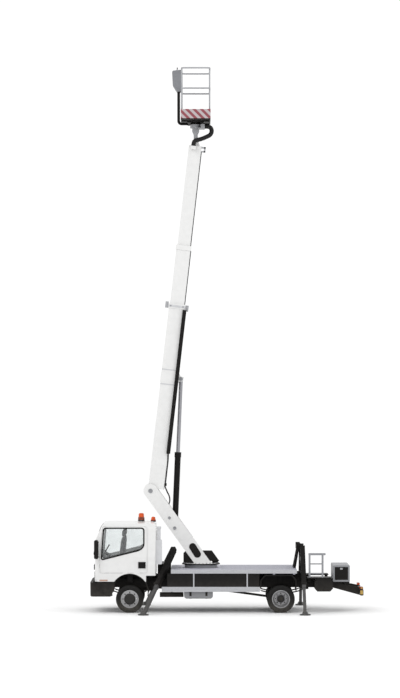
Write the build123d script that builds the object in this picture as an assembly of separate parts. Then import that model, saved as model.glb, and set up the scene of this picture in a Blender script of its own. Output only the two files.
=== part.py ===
from build123d import *
import math
import os

os.makedirs("parts", exist_ok=True)

# Cherry picker on a light cab-over truck: millimetres, +X to the rear, +Z up, -Y the truck's left.
# Stations along X are measured from the front axle, and every piece is shifted to mid-length at export.

# Overall
LENGTH = 6337
FRONT_OVERHANG = 943
WHEELBASE = 3490
NOSE_X = -FRONT_OVERHANG
TAIL_X = LENGTH - FRONT_OVERHANG
SHIFT_X = FRONT_OVERHANG - LENGTH / 2
RUN_GAP = 0.3
PAD_GAP = 0.5

# Wheels
TYRE_R = 318
TYRE_W = 195
RIM_R = 205
FRONT_WHEEL_Y = 815
REAR_OUTER_Y = 830
REAR_INNER_Y = 605
KINGPIN_Y = 735
KINGPIN_R = 28
SPINDLE_R = 30
HUB_R = 75

# Chassis and subframe
RAIL_Y0 = 350
RAIL_Y1 = 410
RAIL_Z0 = 560
RAIL_Z1 = 760
RAIL_X0 = -770
RAIL_X1 = 4700
RAIL_WALL = 8
SUB_Z1 = 890
SUB_X0 = 720
UNIT_X0 = 640
UNIT_X1 = 940
UNIT_HALF_W = 540
UNIT_Z1 = 1110
GEARBOX_X = 900
SILENCER_X0 = 690
SILENCER_L = 550
SILENCER_R = 58
SILENCER_Y = -540
SILENCER_Z = 400
SUB_X1 = 4060

# Cab
CAB_FRONT_X = -840
CAB_REAR_X = 600
CAB_HALF_W = 930
CAB_Z0 = 722
CAB_TAIL_Z = 860
CAB_ROOF_Z = 2080
CAB_WALL = 48
FLOOR_Z0 = 950
FLOOR_Z1 = 990
ARCH_R = 437
ARCH_Z = 470
ARCH_END_Z = 385
BUMPER_BACK_X = -850
DOOR_X0 = -690
DOOR_X1 = 400
DOOR_Z0 = 925
DOOR_Z1 = 1985
DOOR_GAP = 6
GLASS_IN = 14
GLASS_T = 6
HINGE_R = 11
DUCT_D = 145

# Deck and skirts
DECK_X0 = 955
DECK_X1 = 3852
DECK_HALF_W = 1000
DECK_Z0 = 890
DECK_Z1 = 1000
DECK_T = 28
SKIRT_Z0 = 607
SKIRT_Z1 = 890
SKIRT_T = 20
SKIRT_X0 = 850
SKIRT_TO_AXLE = 489
SKIRT_X1 = WHEELBASE - SKIRT_TO_AXLE
FRONT_PANEL_L = 627
REAR_PANEL_L = 292
SKIRT_RAIL_Z0 = 492
SKIRT_RAIL_X0 = 740
GUARD_FRONT = 478
GUARD_REAR = 356
GUARD_Z0 = 560
GUARD_Z1 = 883
GUARD_T = 24

# Turret
SLEW_X = 1645
RING_R = 380
RING_BORE_R = 300
RING_Z1 = 1075
DISC_R = 440
DISC_Z1 = 1105
PLATE_Y0 = 170
PLATE_Y1 = 200
LEAN = 35.9
COLUMN_HALF = 162
WEB_T = 20
FRONT_WEB_Z1 = 2340
REAR_WEB_Z1 = 1700

# Boom, in its own frame: u along the boom from the pivot, v across it to the rear
PIVOT_X = 467.5
PIVOT_Z = 2792
TILT = 6.5
AXIS_V = 125
PIVOT_PIN_R = 35
BOSS_R = 57
BOOM_WALL = 8
BASE_D = 370
BASE_W = 300
BASE_U0 = 62
BASE_U1 = 4400
SECTION_STEP = 35
MIDDLE_U0 = 1574
MIDDLE_U1 = 5774
TIP_U0 = 3855
TIP_U1 = 8120
COLLAR_L = 110
COLLAR_T = 16
PAD_L = 150
CHAIN_U0 = 907
CHAIN_U1 = 4275
CHAIN_LAP = 42
CHAIN_W = 90
CHAIN_LINKS = 48
CHAIN_T = 65

# Lift cylinder
LIFT_PIN_X = 1033
LIFT_PIN_Z = 1926
LIFT_PIN_R = 30
EYE_U = 2671
EYE_STANDOFF = 101
EYE_V = AXIS_V + BASE_D / 2 + EYE_STANDOFF
REST_Z = 1530
EYE_R = 55
EYE_HALF = 33
EYE_PIN_R = 30
LUG_T = 24
LUG_GAP = 6
EYE_DROP = 50
BARREL_R = 70
BARREL_L = 1765
GLAND_L = 42
PISTON_L = 30
BARREL_FLOOR = 92
ROD_R = 45
ROD_L = 1822

# Basket
LEVEL_U = 8212
LEVEL_PIN_R = 25
BASKET_L = 690
BASKET_W = 1400
BASKET_BOTTOM = 405
BASKET_FLOOR = 493
BASKET_TOP = 1683
FLOOR_T = 28
UNDER_X = 150
UNDER_Y = 430
HUB_BASKET_R = 150
BOX_D = 205
BOX_H = 500
CONDUIT_R = 33
RAIL_TUBE = 38
TOE_H = 215
TOE_T = 4
POST_R = 16

# Stabilisers
STAB_TUBE = 110
STAB_BORE = 98
LEG_UPPER = 85
LEG_LOWER = 70
TUBE_L = 1080
LEG_TOP = 720
LEG_NECK = 1170
FOOT_Y = 1600
FOOT_R = 125
FOOT_T = 25
STAB_TOP_Y = 420
# columns: name, x at the top, z at the top, x at the foot
STABILISERS = [("front", 1010, 1420, 325), ("rear", 4000, 1500, 4022)]


def box(x0, x1, y0, y1, z0, z1):
    middle = Pos((x0 + x1) / 2, (y0 + y1) / 2, (z0 + z1) / 2)
    return middle * Box(x1 - x0, y1 - y0, z1 - z0)


def rod_y(x, z, radius, y0, y1):
    return Pos(x, (y0 + y1) / 2, z) * Rot(90, 0, 0) * Cylinder(radius, y1 - y0)


def rod_z(x, y, radius, z0, z1):
    return Pos(x, y, (z0 + z1) / 2) * Cylinder(radius, z1 - z0)


def rod_x(y, z, radius, x0, x1):
    return Pos((x0 + x1) / 2, y, z) * Rot(0, 90, 0) * Cylinder(radius, x1 - x0)


def outline(points, radius=0):
    return make_face(FilletPolyline(*points, radius=radius, close=True))


def slab_y(face, y0, y1):
    return extrude(Plane.XZ.offset(-y1) * face, amount=y1 - y0)


def slab_x(face, x0, x1):
    return extrude(Plane.YZ.offset(x0) * face, amount=x1 - x0)


def slab_z(face, z0, z1):
    return extrude(Plane.XY.offset(z0) * face, amount=z1 - z0)


def flipped(shape):
    return mirror(shape, about=Plane.XZ)


def pair(shape):
    return shape + flipped(shape)


def rounded_box(x0, x1, y0, y1, z0, z1, radius):
    face = outline([(x0, z0), (x1, z0), (x1, z1), (x0, z1)], radius)
    return slab_y(face, y0, y1)


# Cab: three outlines crossed, so the skin, the panes and the hollow are all the same form at a depth
def cab_form(inset):
    front, rear, roof = CAB_FRONT_X, CAB_REAR_X, CAB_ROOF_Z
    low = CAB_Z0
    side = outline(
        [(front + 3, low), (front, 1250), (front + 14, 1596), (front + 208, 2040),
         (front + 300, roof + 4), (rear - 70, roof + 4), (rear, roof - 90), (rear, low)],
        [0, 600, 900, 110, 180, 70, 90, 0])
    half = CAB_HALF_W
    wide = half + 0.6
    across = outline(
        [(-half + 12, low), (-half, 1300), (-half + 55, 1960), (-half + 150, roof - 24), (0, roof),
         (half - 150, roof - 24), (half - 55, 1960), (half, 1300), (half - 12, low)],
        [0, 500, 90, 110, 1500, 110, 90, 500, 0])
    plan = outline(
        [(rear, -wide), (rear, wide), (front + 40, wide), (front, 0), (front + 40, -wide)],
        [40, 40, 130, 2500, 130])
    if inset:
        side, across, plan = (offset(face, -inset) for face in (side, across, plan))
    form = slab_y(side, -wide - 10, wide + 10) & slab_x(across, front - 10, rear + 10)
    return form & slab_z(plan, low - 10, roof + 20)


def door_outline(grow):
    lean = 65
    return outline(
        [(DOOR_X0 - grow, DOOR_Z0 - grow), (DOOR_X1 + grow, DOOR_Z0 - grow),
         (DOOR_X1 + grow, DOOR_Z1 + grow), (DOOR_X0 + lean - grow, DOOR_Z1 + grow),
         (DOOR_X0 - grow, 1240)], [40 + grow, 40 + grow, 70 + grow, 40 + grow, 200])


def window_outline():
    return outline([(-644, 1240), (230, 1462), (312, 1540), (312, 1940), (-590, 1940)],
                   [50, 120, 60, 60, 50])


HINGE_X = DOOR_X0 - DOOR_GAP / 2
HINGE_Y = CAB_HALF_W
# columns: low end of the door's barrel, its length
HINGES = [(985, 60), (1150, 60)]


def hinge_barrels(radius, grow=0):
    barrels = Part()
    for low, length in HINGES:
        barrels += rod_z(HINGE_X, -HINGE_Y, radius, low - grow, low + length + grow)
    return barrels


def hinge_posts(radius, grow=0):
    posts = Part()
    for low, length in HINGES:
        posts += rod_z(HINGE_X, -HINGE_Y, radius, low - 26 - grow, low - 2 + grow)
    return posts


def windscreen_face():
    return outline([(-800, 1385), (800, 1385), (755, 1985), (-755, 1985)], 90)


def cab_pieces():
    skin = cab_form(0)
    hollow = cab_form(CAB_WALL)
    width = 2 * CAB_HALF_W
    room = hollow & box(-2000, 2000, -width, width, FLOOR_Z1, 3000)
    under = cab_form(CAB_WALL - 14) & box(-2000, 2000, -width, width, 0, FLOOR_Z0)
    under += box(CAB_FRONT_X + 60, CAB_REAR_X - 60, -860, 860, CAB_Z0 - 20, CAB_Z0 + 100)
    under += box(ARCH_R - 60, CAB_REAR_X + 20, -width, width, CAB_Z0 - 20, CAB_TAIL_Z)
    shell = skin - room - under
    pane_layer = cab_form(GLASS_IN) - cab_form(GLASS_IN + GLASS_T)
    side = slab_y(door_outline(0), -CAB_HALF_W - 20, -CAB_HALF_W + 200)
    window = slab_y(window_outline(), -CAB_HALF_W - 20, -CAB_HALF_W + 200)
    door = (shell & side) - window
    door = door - hinge_posts(HINGE_R + 3, 2) + hinge_barrels(HINGE_R)
    handle = rounded_box(205, 360, -CAB_HALF_W - 12, -CAB_HALF_W + 20, 1040, 1165, 24)
    door = door + handle
    door_glass = pane_layer & window
    opening = slab_y(door_outline(DOOR_GAP), -CAB_HALF_W - 20, -CAB_HALF_W + 200)
    cut = opening - hinge_posts(HINGE_R)
    shell = shell - cut - flipped(cut)
    posts = hinge_posts(HINGE_R)
    reliefs = hinge_barrels(HINGE_R + 3, 2)
    shell = shell + posts + flipped(posts) - reliefs - flipped(reliefs)
    screen = slab_x(windscreen_face(), CAB_FRONT_X - 50, CAB_FRONT_X + 330)
    rear_window = slab_x(outline([(-560, 1480), (560, 1480), (560, 1860), (-560, 1860)], 60),
                         CAB_REAR_X - 90, CAB_REAR_X + 20)
    panes = (pane_layer & screen) + (pane_layer & rear_window)
    shell = shell - screen - rear_window
    shell = shell - rod_y(0, ARCH_Z, ARCH_R, -1000, 1000)
    return shell, panes, door, door_glass


def seat(y):
    cushion = rounded_box(-590, -170, y - 240, y + 240, 1085, 1235, 50)
    base = box(-540, -190, y - 200, y + 200, FLOOR_Z1, 1085)
    back = outline([(-250, 1200), (-150, 1180), (-95, 1730), (-195, 1740)], 35)
    head = outline([(-190, 1745), (-100, 1738), (-88, 1890), (-175, 1900)], 30)
    shape = cushion + base + slab_y(back, y - 235, y + 235)
    return shape + slab_y(head, y - 130, y + 130) + box(-165, -125, y - 60, y + 60, 1715, 1760)


def dashboard():
    profile = outline([(-785, FLOOR_Z1), (-700, FLOOR_Z1), (-640, 1150), (-600, 1330), (-650, 1385),
                       (-780, 1375)], [0, 0, 80, 40, 40, 0])
    panel = slab_y(profile, -800, 800) & cab_form(CAB_WALL + 2)
    hub = Pos(-585, -420, 1375) * Rot(0, -60, 0)
    wheel = hub * Torus(195, 15)
    wheel += hub * Cylinder(45, 40)
    wheel += hub * Box(380, 34, 18)
    wheel += hub * Pos(0, 95, 0) * Box(34, 190, 18)
    column = hub * Pos(0, 0, -75) * Cylinder(30, 150)
    return panel + wheel + column


def bumper():
    side = outline([(NOSE_X + 45, 377), (-440, 377), (-352, 540), (-345, 705), (NOSE_X + 30, 705),
                    (NOSE_X, 640), (NOSE_X, 470)], [30, 20, 20, 10, 20, 60, 60])
    plan = outline([(-340, -928), (-340, 928), (-906, 928), (NOSE_X, 0), (-906, -928)],
                   [0, 0, 110, 1800, 110])
    solid = slab_y(side, -928, 928) & slab_z(plan, 300, 760)
    hollow = box(BUMPER_BACK_X, -200, -880, 880, 300, 800)
    solid = solid - hollow
    solid -= box(NOSE_X - 10, NOSE_X + 18, -420, 420, 430, 520)
    bracket = box(BUMPER_BACK_X - 10, RAIL_X0, -RAIL_Y1, -RAIL_Y0, RAIL_Z0 + 20, 690)
    solid += pair(bracket)
    for side_y in (-1, 1):
        solid -= rod_x(side_y * 690, 560, 48, NOSE_X - 10, NOSE_X + 60)
    return solid


def mirrors():
    housing = outline([(-816, 1260), (-735, 1250), (-713, 1300), (-713, 1640), (-750, 1690),
                       (-816, 1680)], 30)
    head = slab_y(housing, -1130, -955)
    lower = rod_y(-740, 1300, 14, -965, -880)
    upper = rod_y(-740, 1640, 14, -965, -860)
    arm = (lower + upper) - cab_form(0)
    return pair(head + arm)


def beacons():
    # columns: x, dome radius, dome height, base height
    table = [(250, 68, 130, 70), (530, 52, 75, 40)]
    shapes = Part()
    for x, radius, dome, base in table:
        profile = outline([(0, 0), (radius + 8, 0), (radius + 8, base), (radius, base + 6),
                           (radius - 10, base + dome), (0, base + dome)], [0, 6, 4, 4, 34, 0])
        lamp = revolve(Plane.XZ * profile, axis=Axis.Z)
        shapes += Pos(x, 0, CAB_ROOF_Z - 12) * lamp
    return shapes - cab_form(0)


def snorkel():
    y0, y1 = -880, -760
    duct = rounded_box(CAB_REAR_X, CAB_REAR_X + DUCT_D, y0, y1, 1120, 1690, 30)
    x, y = CAB_REAR_X + DUCT_D / 2, (y0 + y1) / 2
    pipe = rod_z(x, y, 40, 1680, 1960)
    cap = rod_z(x, y, 52, 1940, 1990)
    return duct + pipe + cap


# Chassis
def chassis_frame():
    rail = box(RAIL_X0, RAIL_X1, -RAIL_Y1, -RAIL_Y0, RAIL_Z0, RAIL_Z1)
    rail -= box(RAIL_X0 - 1, RAIL_X1 + 1, -RAIL_Y1 + RAIL_WALL, -RAIL_Y0 + 1,
                RAIL_Z0 + RAIL_WALL, RAIL_Z1 - RAIL_WALL)
    frame = pair(rail)
    inner = RAIL_Y1 - RAIL_WALL
    for x in (RAIL_X0 + 40, 2560, 3120, 3900, RAIL_X1 - 40):
        frame += box(x - 40, x + 40, -inner, inner, RAIL_Z0 + 20, RAIL_Z1 - RAIL_WALL)
    for x in (-560, 480):
        tower = box(x - 45, x + 45, -RAIL_Y1, -RAIL_Y0, RAIL_Z1, FLOOR_Z0)
        frame += pair(tower)
    return frame


def stab_frame(name, x_top, z_top, x_foot, side):
    top = Vector(x_top, side * STAB_TOP_Y, z_top)
    foot = Vector(x_foot, side * FOOT_Y, 0)
    along = foot - top
    level = along.cross(Vector(0, 0, 1))
    return Plane(origin=top, x_dir=level, z_dir=along), along.length


def stab_tube(row, side, bore=True):
    plane, reach = stab_frame(*row, side)
    tube = Pos(0, 0, TUBE_L / 2) * Box(STAB_TUBE, STAB_TUBE, TUBE_L)
    if bore:
        tube -= Pos(0, 0, TUBE_L / 2 + 6) * Box(STAB_BORE, STAB_BORE, TUBE_L)
        throat = Box(STAB_TUBE + 24, STAB_TUBE + 24, 40) - Box(LEG_UPPER + 2, LEG_UPPER + 2, 60)
        tube += Pos(0, 0, TUBE_L - 20) * throat
    return plane.location * tube


def stab_leg(row, side):
    plane, reach = stab_frame(*row, side)
    upper = Pos(0, 0, (LEG_TOP + LEG_NECK) / 2) * Box(LEG_UPPER, LEG_UPPER, LEG_NECK - LEG_TOP)
    shoe = Pos(0, 0, LEG_TOP + 40) * Box(STAB_BORE - 2 * PAD_GAP, STAB_BORE - 2 * PAD_GAP, 80)
    lower_l = reach - 40 - LEG_NECK
    lower = Pos(0, 0, LEG_NECK + lower_l / 2) * Box(LEG_LOWER, LEG_LOWER, lower_l)
    leg = plane.location * (upper + shoe + lower)
    profile = outline([(0, 0), (FOOT_R, 0), (FOOT_R, FOOT_T), (70, FOOT_T + 12), (52, 85), (0, 85)],
                      [0, 4, 6, 20, 15, 0])
    foot = Pos(row[3], side * FOOT_Y, 0) * revolve(Plane.XZ * profile, axis=Axis.Z)
    leg -= box(row[3] - 300, row[3] + 300, side * FOOT_Y - 300, side * FOOT_Y + 300, -200, 6)
    return leg + foot


def subframe():
    frame = pair(box(SUB_X0, SUB_X1, -RAIL_Y1, -RAIL_Y0, RAIL_Z1, SUB_Z1))
    # columns: station, half reach of the low beam, height and half reach of the high beam
    beams = [(757, 880, 1200, 610), (4008, 915, 1200, 670)]
    for (x, reach, high, high_reach), row in zip(beams, STABILISERS):
        frame += box(x - 45, x + 45, -reach, reach, SUB_Z1 - 110, SUB_Z1)
        lean = (row[1] - row[3]) * (row[2] - high) / row[2]
        hx = row[1] - lean
        frame += box(hx - 40, hx + 40, -high_reach, high_reach, high - 40, high + 40)
        post = box(hx - 40, hx + 40, -RAIL_Y1, -RAIL_Y0, SUB_Z1 - 10, high)
        foot = box(min(hx, x) - 40, max(hx, x) + 40, -RAIL_Y1, -RAIL_Y0, SUB_Z1 - 60, SUB_Z1)
        frame += pair(post) + pair(foot)
    frame += rounded_box(UNIT_X0, UNIT_X1, -UNIT_HALF_W, UNIT_HALF_W, SUB_Z1 - 20, UNIT_Z1, 18)
    frame += rod_z(SLEW_X, 0, RING_R, RAIL_Z1 + 10, DECK_Z1) - rod_z(SLEW_X, 0, 260, 700, 1100)
    for x in (SLEW_X - 330, SLEW_X + 330):
        frame += box(x - 40, x + 40, -RAIL_Y0, RAIL_Y0, RAIL_Z1 + 10, SUB_Z1)
    for row in STABILISERS:
        for side in (-1, 1):
            frame -= stab_tube(row, side, bore=False)
    return frame


def stabiliser_tubes():
    tubes = Part()
    for row in STABILISERS:
        for side in (-1, 1):
            tubes += stab_tube(row, side)
    return tubes


def slew_ring():
    return rod_z(SLEW_X, 0, RING_R, DECK_Z1, RING_Z1) - rod_z(SLEW_X, 0, RING_BORE_R, 900, 1100)


def deck():
    plate = box(DECK_X0, DECK_X1, -DECK_HALF_W, DECK_HALF_W, DECK_Z1 - DECK_T, DECK_Z1)
    rim = box(DECK_X0, DECK_X1, -DECK_HALF_W, DECK_HALF_W, DECK_Z0 + 25, DECK_Z1)
    rim -= box(DECK_X0 + 30, DECK_X1 - 30, -DECK_HALF_W + 30, DECK_HALF_W - 30, 800, DECK_Z1 - DECK_T)
    floor = plate + rim
    span = DECK_X1 - DECK_X0
    for k in range(7):
        x = DECK_X0 + 60 + k * (span - 120) / 6
        floor += box(x - 25, x + 25, -DECK_HALF_W + 35, DECK_HALF_W - 35, DECK_Z0, DECK_Z1 - 10)
    return floor - rod_z(SLEW_X, 0, RING_R + 4, 800, 1200)


DIVIDERS = (SKIRT_X0 + FRONT_PANEL_L, SKIRT_X1 - REAR_PANEL_L)


def skirt_panels():
    panels = Part()
    edges = (SKIRT_X0,) + DIVIDERS + (SKIRT_X1,)
    for k in range(len(edges) - 1):
        panel = box(edges[k] + 14, edges[k + 1] - 14, -DECK_HALF_W + 8, -DECK_HALF_W + 8 + SKIRT_T,
                    SKIRT_Z0, SKIRT_Z1 + 25)
        panels += pair(panel)
    return panels


def skirt_rails():
    rail = box(SKIRT_RAIL_X0, SKIRT_X1, -DECK_HALF_W, -DECK_HALF_W + 34, SKIRT_RAIL_Z0, SKIRT_Z0)
    rail -= box(SKIRT_RAIL_X0 - 1, SKIRT_X1 + 1, -DECK_HALF_W + 6, -DECK_HALF_W + 40,
                SKIRT_RAIL_Z0 + 6, SKIRT_Z0 - 6)
    for x in DIVIDERS:
        rail += box(x - 14, x + 14, -DECK_HALF_W, -DECK_HALF_W + 34, SKIRT_Z0 - 10, DECK_Z0 + 25)
    for x in (SKIRT_X0 + 50, SKIRT_X1 - 51):
        rail += box(x - 20, x + 20, -DECK_HALF_W + 28, -RAIL_Y1, SKIRT_Z0 - 40, SKIRT_Z0)
    return pair(rail)


def front_arches():
    outer = ARCH_R - 2
    ring = rod_y(0, ARCH_Z, outer, -876, -560) - rod_y(0, ARCH_Z, outer - 22, -1000, -500)
    ring = ring & box(-600, 600, -1000, 0, ARCH_END_Z, 1000)
    bracket = box(-60, 60, -600, -RAIL_Y1, 690, 895) & rod_y(0, ARCH_Z, outer, -1000, 0)
    return pair(ring + bracket)


def rear_mudguards():
    x0, x1 = WHEELBASE - GUARD_FRONT, WHEELBASE + GUARD_REAR
    wall = GUARD_T
    outer = outline([(x0, GUARD_Z0), (x0, 760), (x0 + 108, GUARD_Z1), (x1 - 106, GUARD_Z1), (x1, 760),
                     (x1, GUARD_Z0 - 40), (x1 - wall, GUARD_Z0 - 40), (x1 - wall, 750),
                     (x1 - 116, GUARD_Z1 - wall), (x0 + 118, GUARD_Z1 - wall), (x0 + wall, 750),
                     (x0 + wall, GUARD_Z0)],
                    [0, 60, 60, 60, 60, 0, 0, 50, 50, 50, 50, 0])
    guard = slab_y(outer, -980, -470)
    bracket = box(WHEELBASE - 40, WHEELBASE + 40, -480, -RAIL_Y1, 780, GUARD_Z1 - wall)
    bracket += box(WHEELBASE - 40, WHEELBASE + 40, -470, -RAIL_Y1, 700, 800)
    return pair(guard + bracket)


def engine_block():
    block = rounded_box(-260, 640, -270, 270, 470, 845, 40)
    sump = rounded_box(-230, 200, -180, 180, 410, 520, 40)
    gearbox = rod_x(0, 640, 140, 600, GEARBOX_X)
    mounts = pair(box(150, 230, -RAIL_Y1 + RAIL_WALL, -260, 600, 680))
    silencer = rod_x(SILENCER_Y, SILENCER_Z, SILENCER_R, SILENCER_X0, SILENCER_X0 + SILENCER_L)
    hanger_x = SILENCER_X0 + SILENCER_L / 2
    silencer += box(hanger_x - 20, hanger_x + 20, SILENCER_Y - 20, -RAIL_Y1, SILENCER_Z, RAIL_Z0 + 40)
    return block + sump + gearbox + mounts + silencer


def front_axle():
    drop = outline([(-KINGPIN_Y, 345), (-560, 345), (-480, 320), (480, 320), (560, 345),
                    (KINGPIN_Y, 345), (KINGPIN_Y, 280), (540, 280), (470, 245), (-470, 245),
                    (-540, 280), (-KINGPIN_Y, 280)], [0, 40, 40, 40, 40, 0, 0, 40, 40, 40, 40, 0])
    beam = slab_x(drop, -40, 40)
    for side in (-1, 1):
        beam += rod_z(0, side * KINGPIN_Y, 45, 270, 366)
        beam -= rod_z(0, side * KINGPIN_Y, KINGPIN_R + RUN_GAP, 200, 420)
        beam += box(-60, 60, side * 380 - 32, side * 380 + 32, 300, 372)
    return beam


def knuckle(side):
    y = side * KINGPIN_Y
    shape = rod_z(0, y, KINGPIN_R, 240, 396)
    shape += rod_z(0, y, 45, 236, 267) + rod_z(0, y, 45, 369, 400)
    y0, y1 = sorted((side * (KINGPIN_Y + 48), side * (KINGPIN_Y + 70)))
    shape += box(-60, 60, y0, y1, 236, 400)
    n0, n1 = sorted((y, side * (KINGPIN_Y + 60)))
    shape += box(-40, 40, n0, n1, 236, 267) + box(-40, 40, n0, n1, 369, 400)
    s0, s1 = sorted((side * (KINGPIN_Y + 60), side * 890))
    return shape + rod_y(0, TYRE_R, SPINDLE_R, s0, s1)


def leaf_springs():
    springs = Part()
    # columns: axle station, half length, height of the axle pad
    for x, half, z_pad in [(0, 520, 372), (WHEELBASE, 620, 392)]:
        rise = RAIL_Z0 - z_pad - 50
        for leaf, share in enumerate((1.0, 0.72, 0.46)):
            reach = half * share
            sag = rise * share * share
            low = z_pad + 14 * (2 - leaf)
            arc = ThreePointArc((x - reach, low + sag), (x, low), (x + reach, low + sag))
            top = ThreePointArc((x + reach, low + sag + 14), (x, low + 14), (x - reach, low + sag + 14))
            face = make_face([arc, Line(arc @ 1, top @ 0), top, Line(top @ 1, arc @ 0)])
            springs += pair(slab_y(face, -RAIL_Y1 + 2, -RAIL_Y0 - 2))
        for end in (-1, 1):
            springs += pair(box(x + end * half - 30, x + end * half + 30, -RAIL_Y1 + 2, -RAIL_Y0 - 2,
                                z_pad + 28 + rise - 20, RAIL_Z0))
    return springs


def rear_axle():
    tube = rod_y(WHEELBASE, TYRE_R, 62, -500, 500)
    bulge = outline([(0, -210), (60, -210), (172, -75), (172, 75), (60, 210), (0, 210)],
                    [0, 40, 60, 60, 40, 0])
    tube += Pos(WHEELBASE, 0, TYRE_R) * revolve(bulge, axis=Axis.Y)
    tube += rod_x(0, TYRE_R, 70, WHEELBASE - 280, WHEELBASE)
    tube += rod_y(WHEELBASE, TYRE_R, SPINDLE_R + 10, -880, 880)
    for side in (-1, 1):
        tube += box(WHEELBASE - 60, WHEELBASE + 60, side * 380 - 32, side * 380 + 32, 318, 392)
    shaft = outline([(GEARBOX_X, 615), (GEARBOX_X, 665), (WHEELBASE - 250, 345), (WHEELBASE - 250, 295)])
    return tube + (slab_y(shaft, -25, 25))


def fuel_tank():
    tank = rounded_box(1253, 1920, -930, -RAIL_Y1, 331, 590, 70)
    neck = rod_y(1330, 500, 32, -960, -920)
    return tank + neck


def boom_rest():
    leg = outline([(3790, DECK_Z1), (3850, DECK_Z1), (3935, 1490), (3885, 1490)])
    rest = pair(slab_y(leg, -300, -260))
    rest += box(3870, 3945, -300, 300, REST_Z - 110, REST_Z - 70)
    rest += box(3860, 3960, -BASE_W / 2 + 20, 190, REST_Z - 75, REST_Z)
    for side in (-1, 1):
        y0, y1 = sorted((side * 225, side * 260))
        rest += box(3860, 3960, y0, y1, REST_Z - 95, REST_Z + 50)
    rest += box(3835, 3870, -280, 280, 1180, 1215)
    return rest


PLATFORM_Z = 814


def tail_frame():
    side = outline([(RAIL_X1 - 60, 700), (4680, 560), (TAIL_X - 40, 377), (TAIL_X, 400), (TAIL_X, 545),
                    (TAIL_X - 60, 565)], [0, 0, 15, 10, 15, 20])
    arm = slab_y(side, -RAIL_Y1 - 20, -RAIL_Y1)
    frame = pair(arm)
    frame += rounded_box(TAIL_X - 80, TAIL_X, -900, 900, 400, 545, 20)
    frame += box(RAIL_X1, 5094, -RAIL_Y1 - 20, RAIL_Y1 + 20, 660, 699)
    frame += box(5000, 5080, -RAIL_Y1, RAIL_Y1, 520, 662)
    shelf = box(4100, 4640, -900, -RAIL_Y1, PLATFORM_Z - 24, PLATFORM_Z)
    shelf += box(4120, 4180, -700, -RAIL_Y1, 700, PLATFORM_Z - 20)
    shelf += box(4560, 4620, -700, -RAIL_Y1, 700, PLATFORM_Z - 20)
    return frame + pair(shelf)


def ladder():
    y0, y1 = -885, -845
    posts = Part()
    for x in (4150, 4450):
        posts += box(x - 22, x + 22, y0, y1, PLATFORM_Z, 1360)
    for z in (905, 1130):
        posts += rod_x((y0 + y1) / 2, z, 14, 4150, 4450)
    return posts + rounded_box(4124, 4520, y0, y1, 1330, 1378, 14)


def oil_tank():
    face = outline([(4266, 560), (4330, 492), (4626, 492), (4690, 560), (4690, 720), (4626, 788),
                    (4330, 788), (4266, 720)], 18)
    tank = slab_y(face, -890, -RAIL_Y1 - 22) - box(4500, 4800, -900, -RAIL_Y1 - 20, 786, 900)
    tank -= box(4550, 4630, -710, -RAIL_Y1, 690, 800)
    return tank + box(4300, 4520, -890, -RAIL_Y1 - 22, 770, PLATFORM_Z - 24)


def rear_locker():
    body = rounded_box(4705, 5094, -560, 560, 699, 1079, 20)
    body -= box(4745, 5054, -570, -545, 739, 1039)
    body -= box(4745, 5054, 545, 570, 739, 1039)
    return body


def tail_lamps():
    lamp = rounded_box(TAIL_X - 70, TAIL_X - 8, -880, -640, 545, 600, 14)
    return pair(lamp)


# Wheels
def tyre(y):
    half = TYRE_W / 2
    profile = outline(
        [(RIM_R, y - half + 22), (RIM_R + 45, y - half), (TYRE_R - 45, y - half), (TYRE_R, y - half + 20),
         (TYRE_R, y + half - 20), (TYRE_R - 45, y + half), (RIM_R + 45, y + half), (RIM_R, y + half - 22)],
        [6, 40, 40, 22, 22, 40, 40, 6])
    return revolve(profile, axis=Axis.Y)


def front_rim(side):
    half = TYRE_W / 2 - 22
    y = FRONT_WHEEL_Y
    barrel = outline([(RIM_R - 12, y - half), (RIM_R, y - half), (RIM_R, y + half), (RIM_R - 12, y + half)])
    disc = outline([(SPINDLE_R + RUN_GAP, 812), (HUB_R + 30, 812), (HUB_R + 60, 838), (RIM_R - 5, 838),
                    (RIM_R - 5, 852), (HUB_R + 55, 858), (HUB_R + 40, 900), (HUB_R - 20, 912),
                    (SPINDLE_R + RUN_GAP, 892)], [0, 0, 12, 0, 0, 12, 14, 10, 0])
    rim = revolve(barrel, axis=Axis.Y) + revolve(disc, axis=Axis.Y)
    for k in range(8):
        rim -= Rot(0, 45 * k, 0) * Pos(155, 845, 0) * Rot(90, 0, 0) * Cylinder(15, 60)
    rim = rim if side > 0 else flipped(rim)
    return Pos(0, 0, TYRE_R) * rim


def rear_rims(side):
    half = TYRE_W / 2 - 22
    rim = Part()
    for y in (REAR_INNER_Y, REAR_OUTER_Y):
        barrel = outline([(RIM_R - 12, y - half), (RIM_R, y - half), (RIM_R, y + half),
                          (RIM_R - 12, y + half)])
        rim += revolve(barrel, axis=Axis.Y)
    bore = SPINDLE_R + 10 + RUN_GAP
    middle = (REAR_INNER_Y + REAR_OUTER_Y) / 2
    disc = outline([(bore, middle - 10), (150, middle - 10), (RIM_R - 6, middle - 60),
                    (RIM_R - 6, middle - 40), (158, middle), (RIM_R - 6, middle + 40),
                    (RIM_R - 6, middle + 60), (150, middle + 12), (HUB_R + 20, middle + 12),
                    (HUB_R - 5, middle + 130), (bore, middle + 140)],
                   [0, 8, 0, 0, 4, 0, 0, 8, 10, 14, 0])
    rim += revolve(disc, axis=Axis.Y)
    for k in range(8):
        rim -= Rot(0, 45 * k, 0) * Pos(122, middle, 0) * Rot(90, 0, 0) * Cylinder(14, 60)
    rim = rim if side > 0 else flipped(rim)
    return Pos(WHEELBASE, 0, TYRE_R) * rim


def wheel_tyres(x, side, stations):
    tyres = Part()
    for y in stations:
        tyres += tyre(side * y)
    return Pos(x, 0, TYRE_R) * tyres


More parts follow.
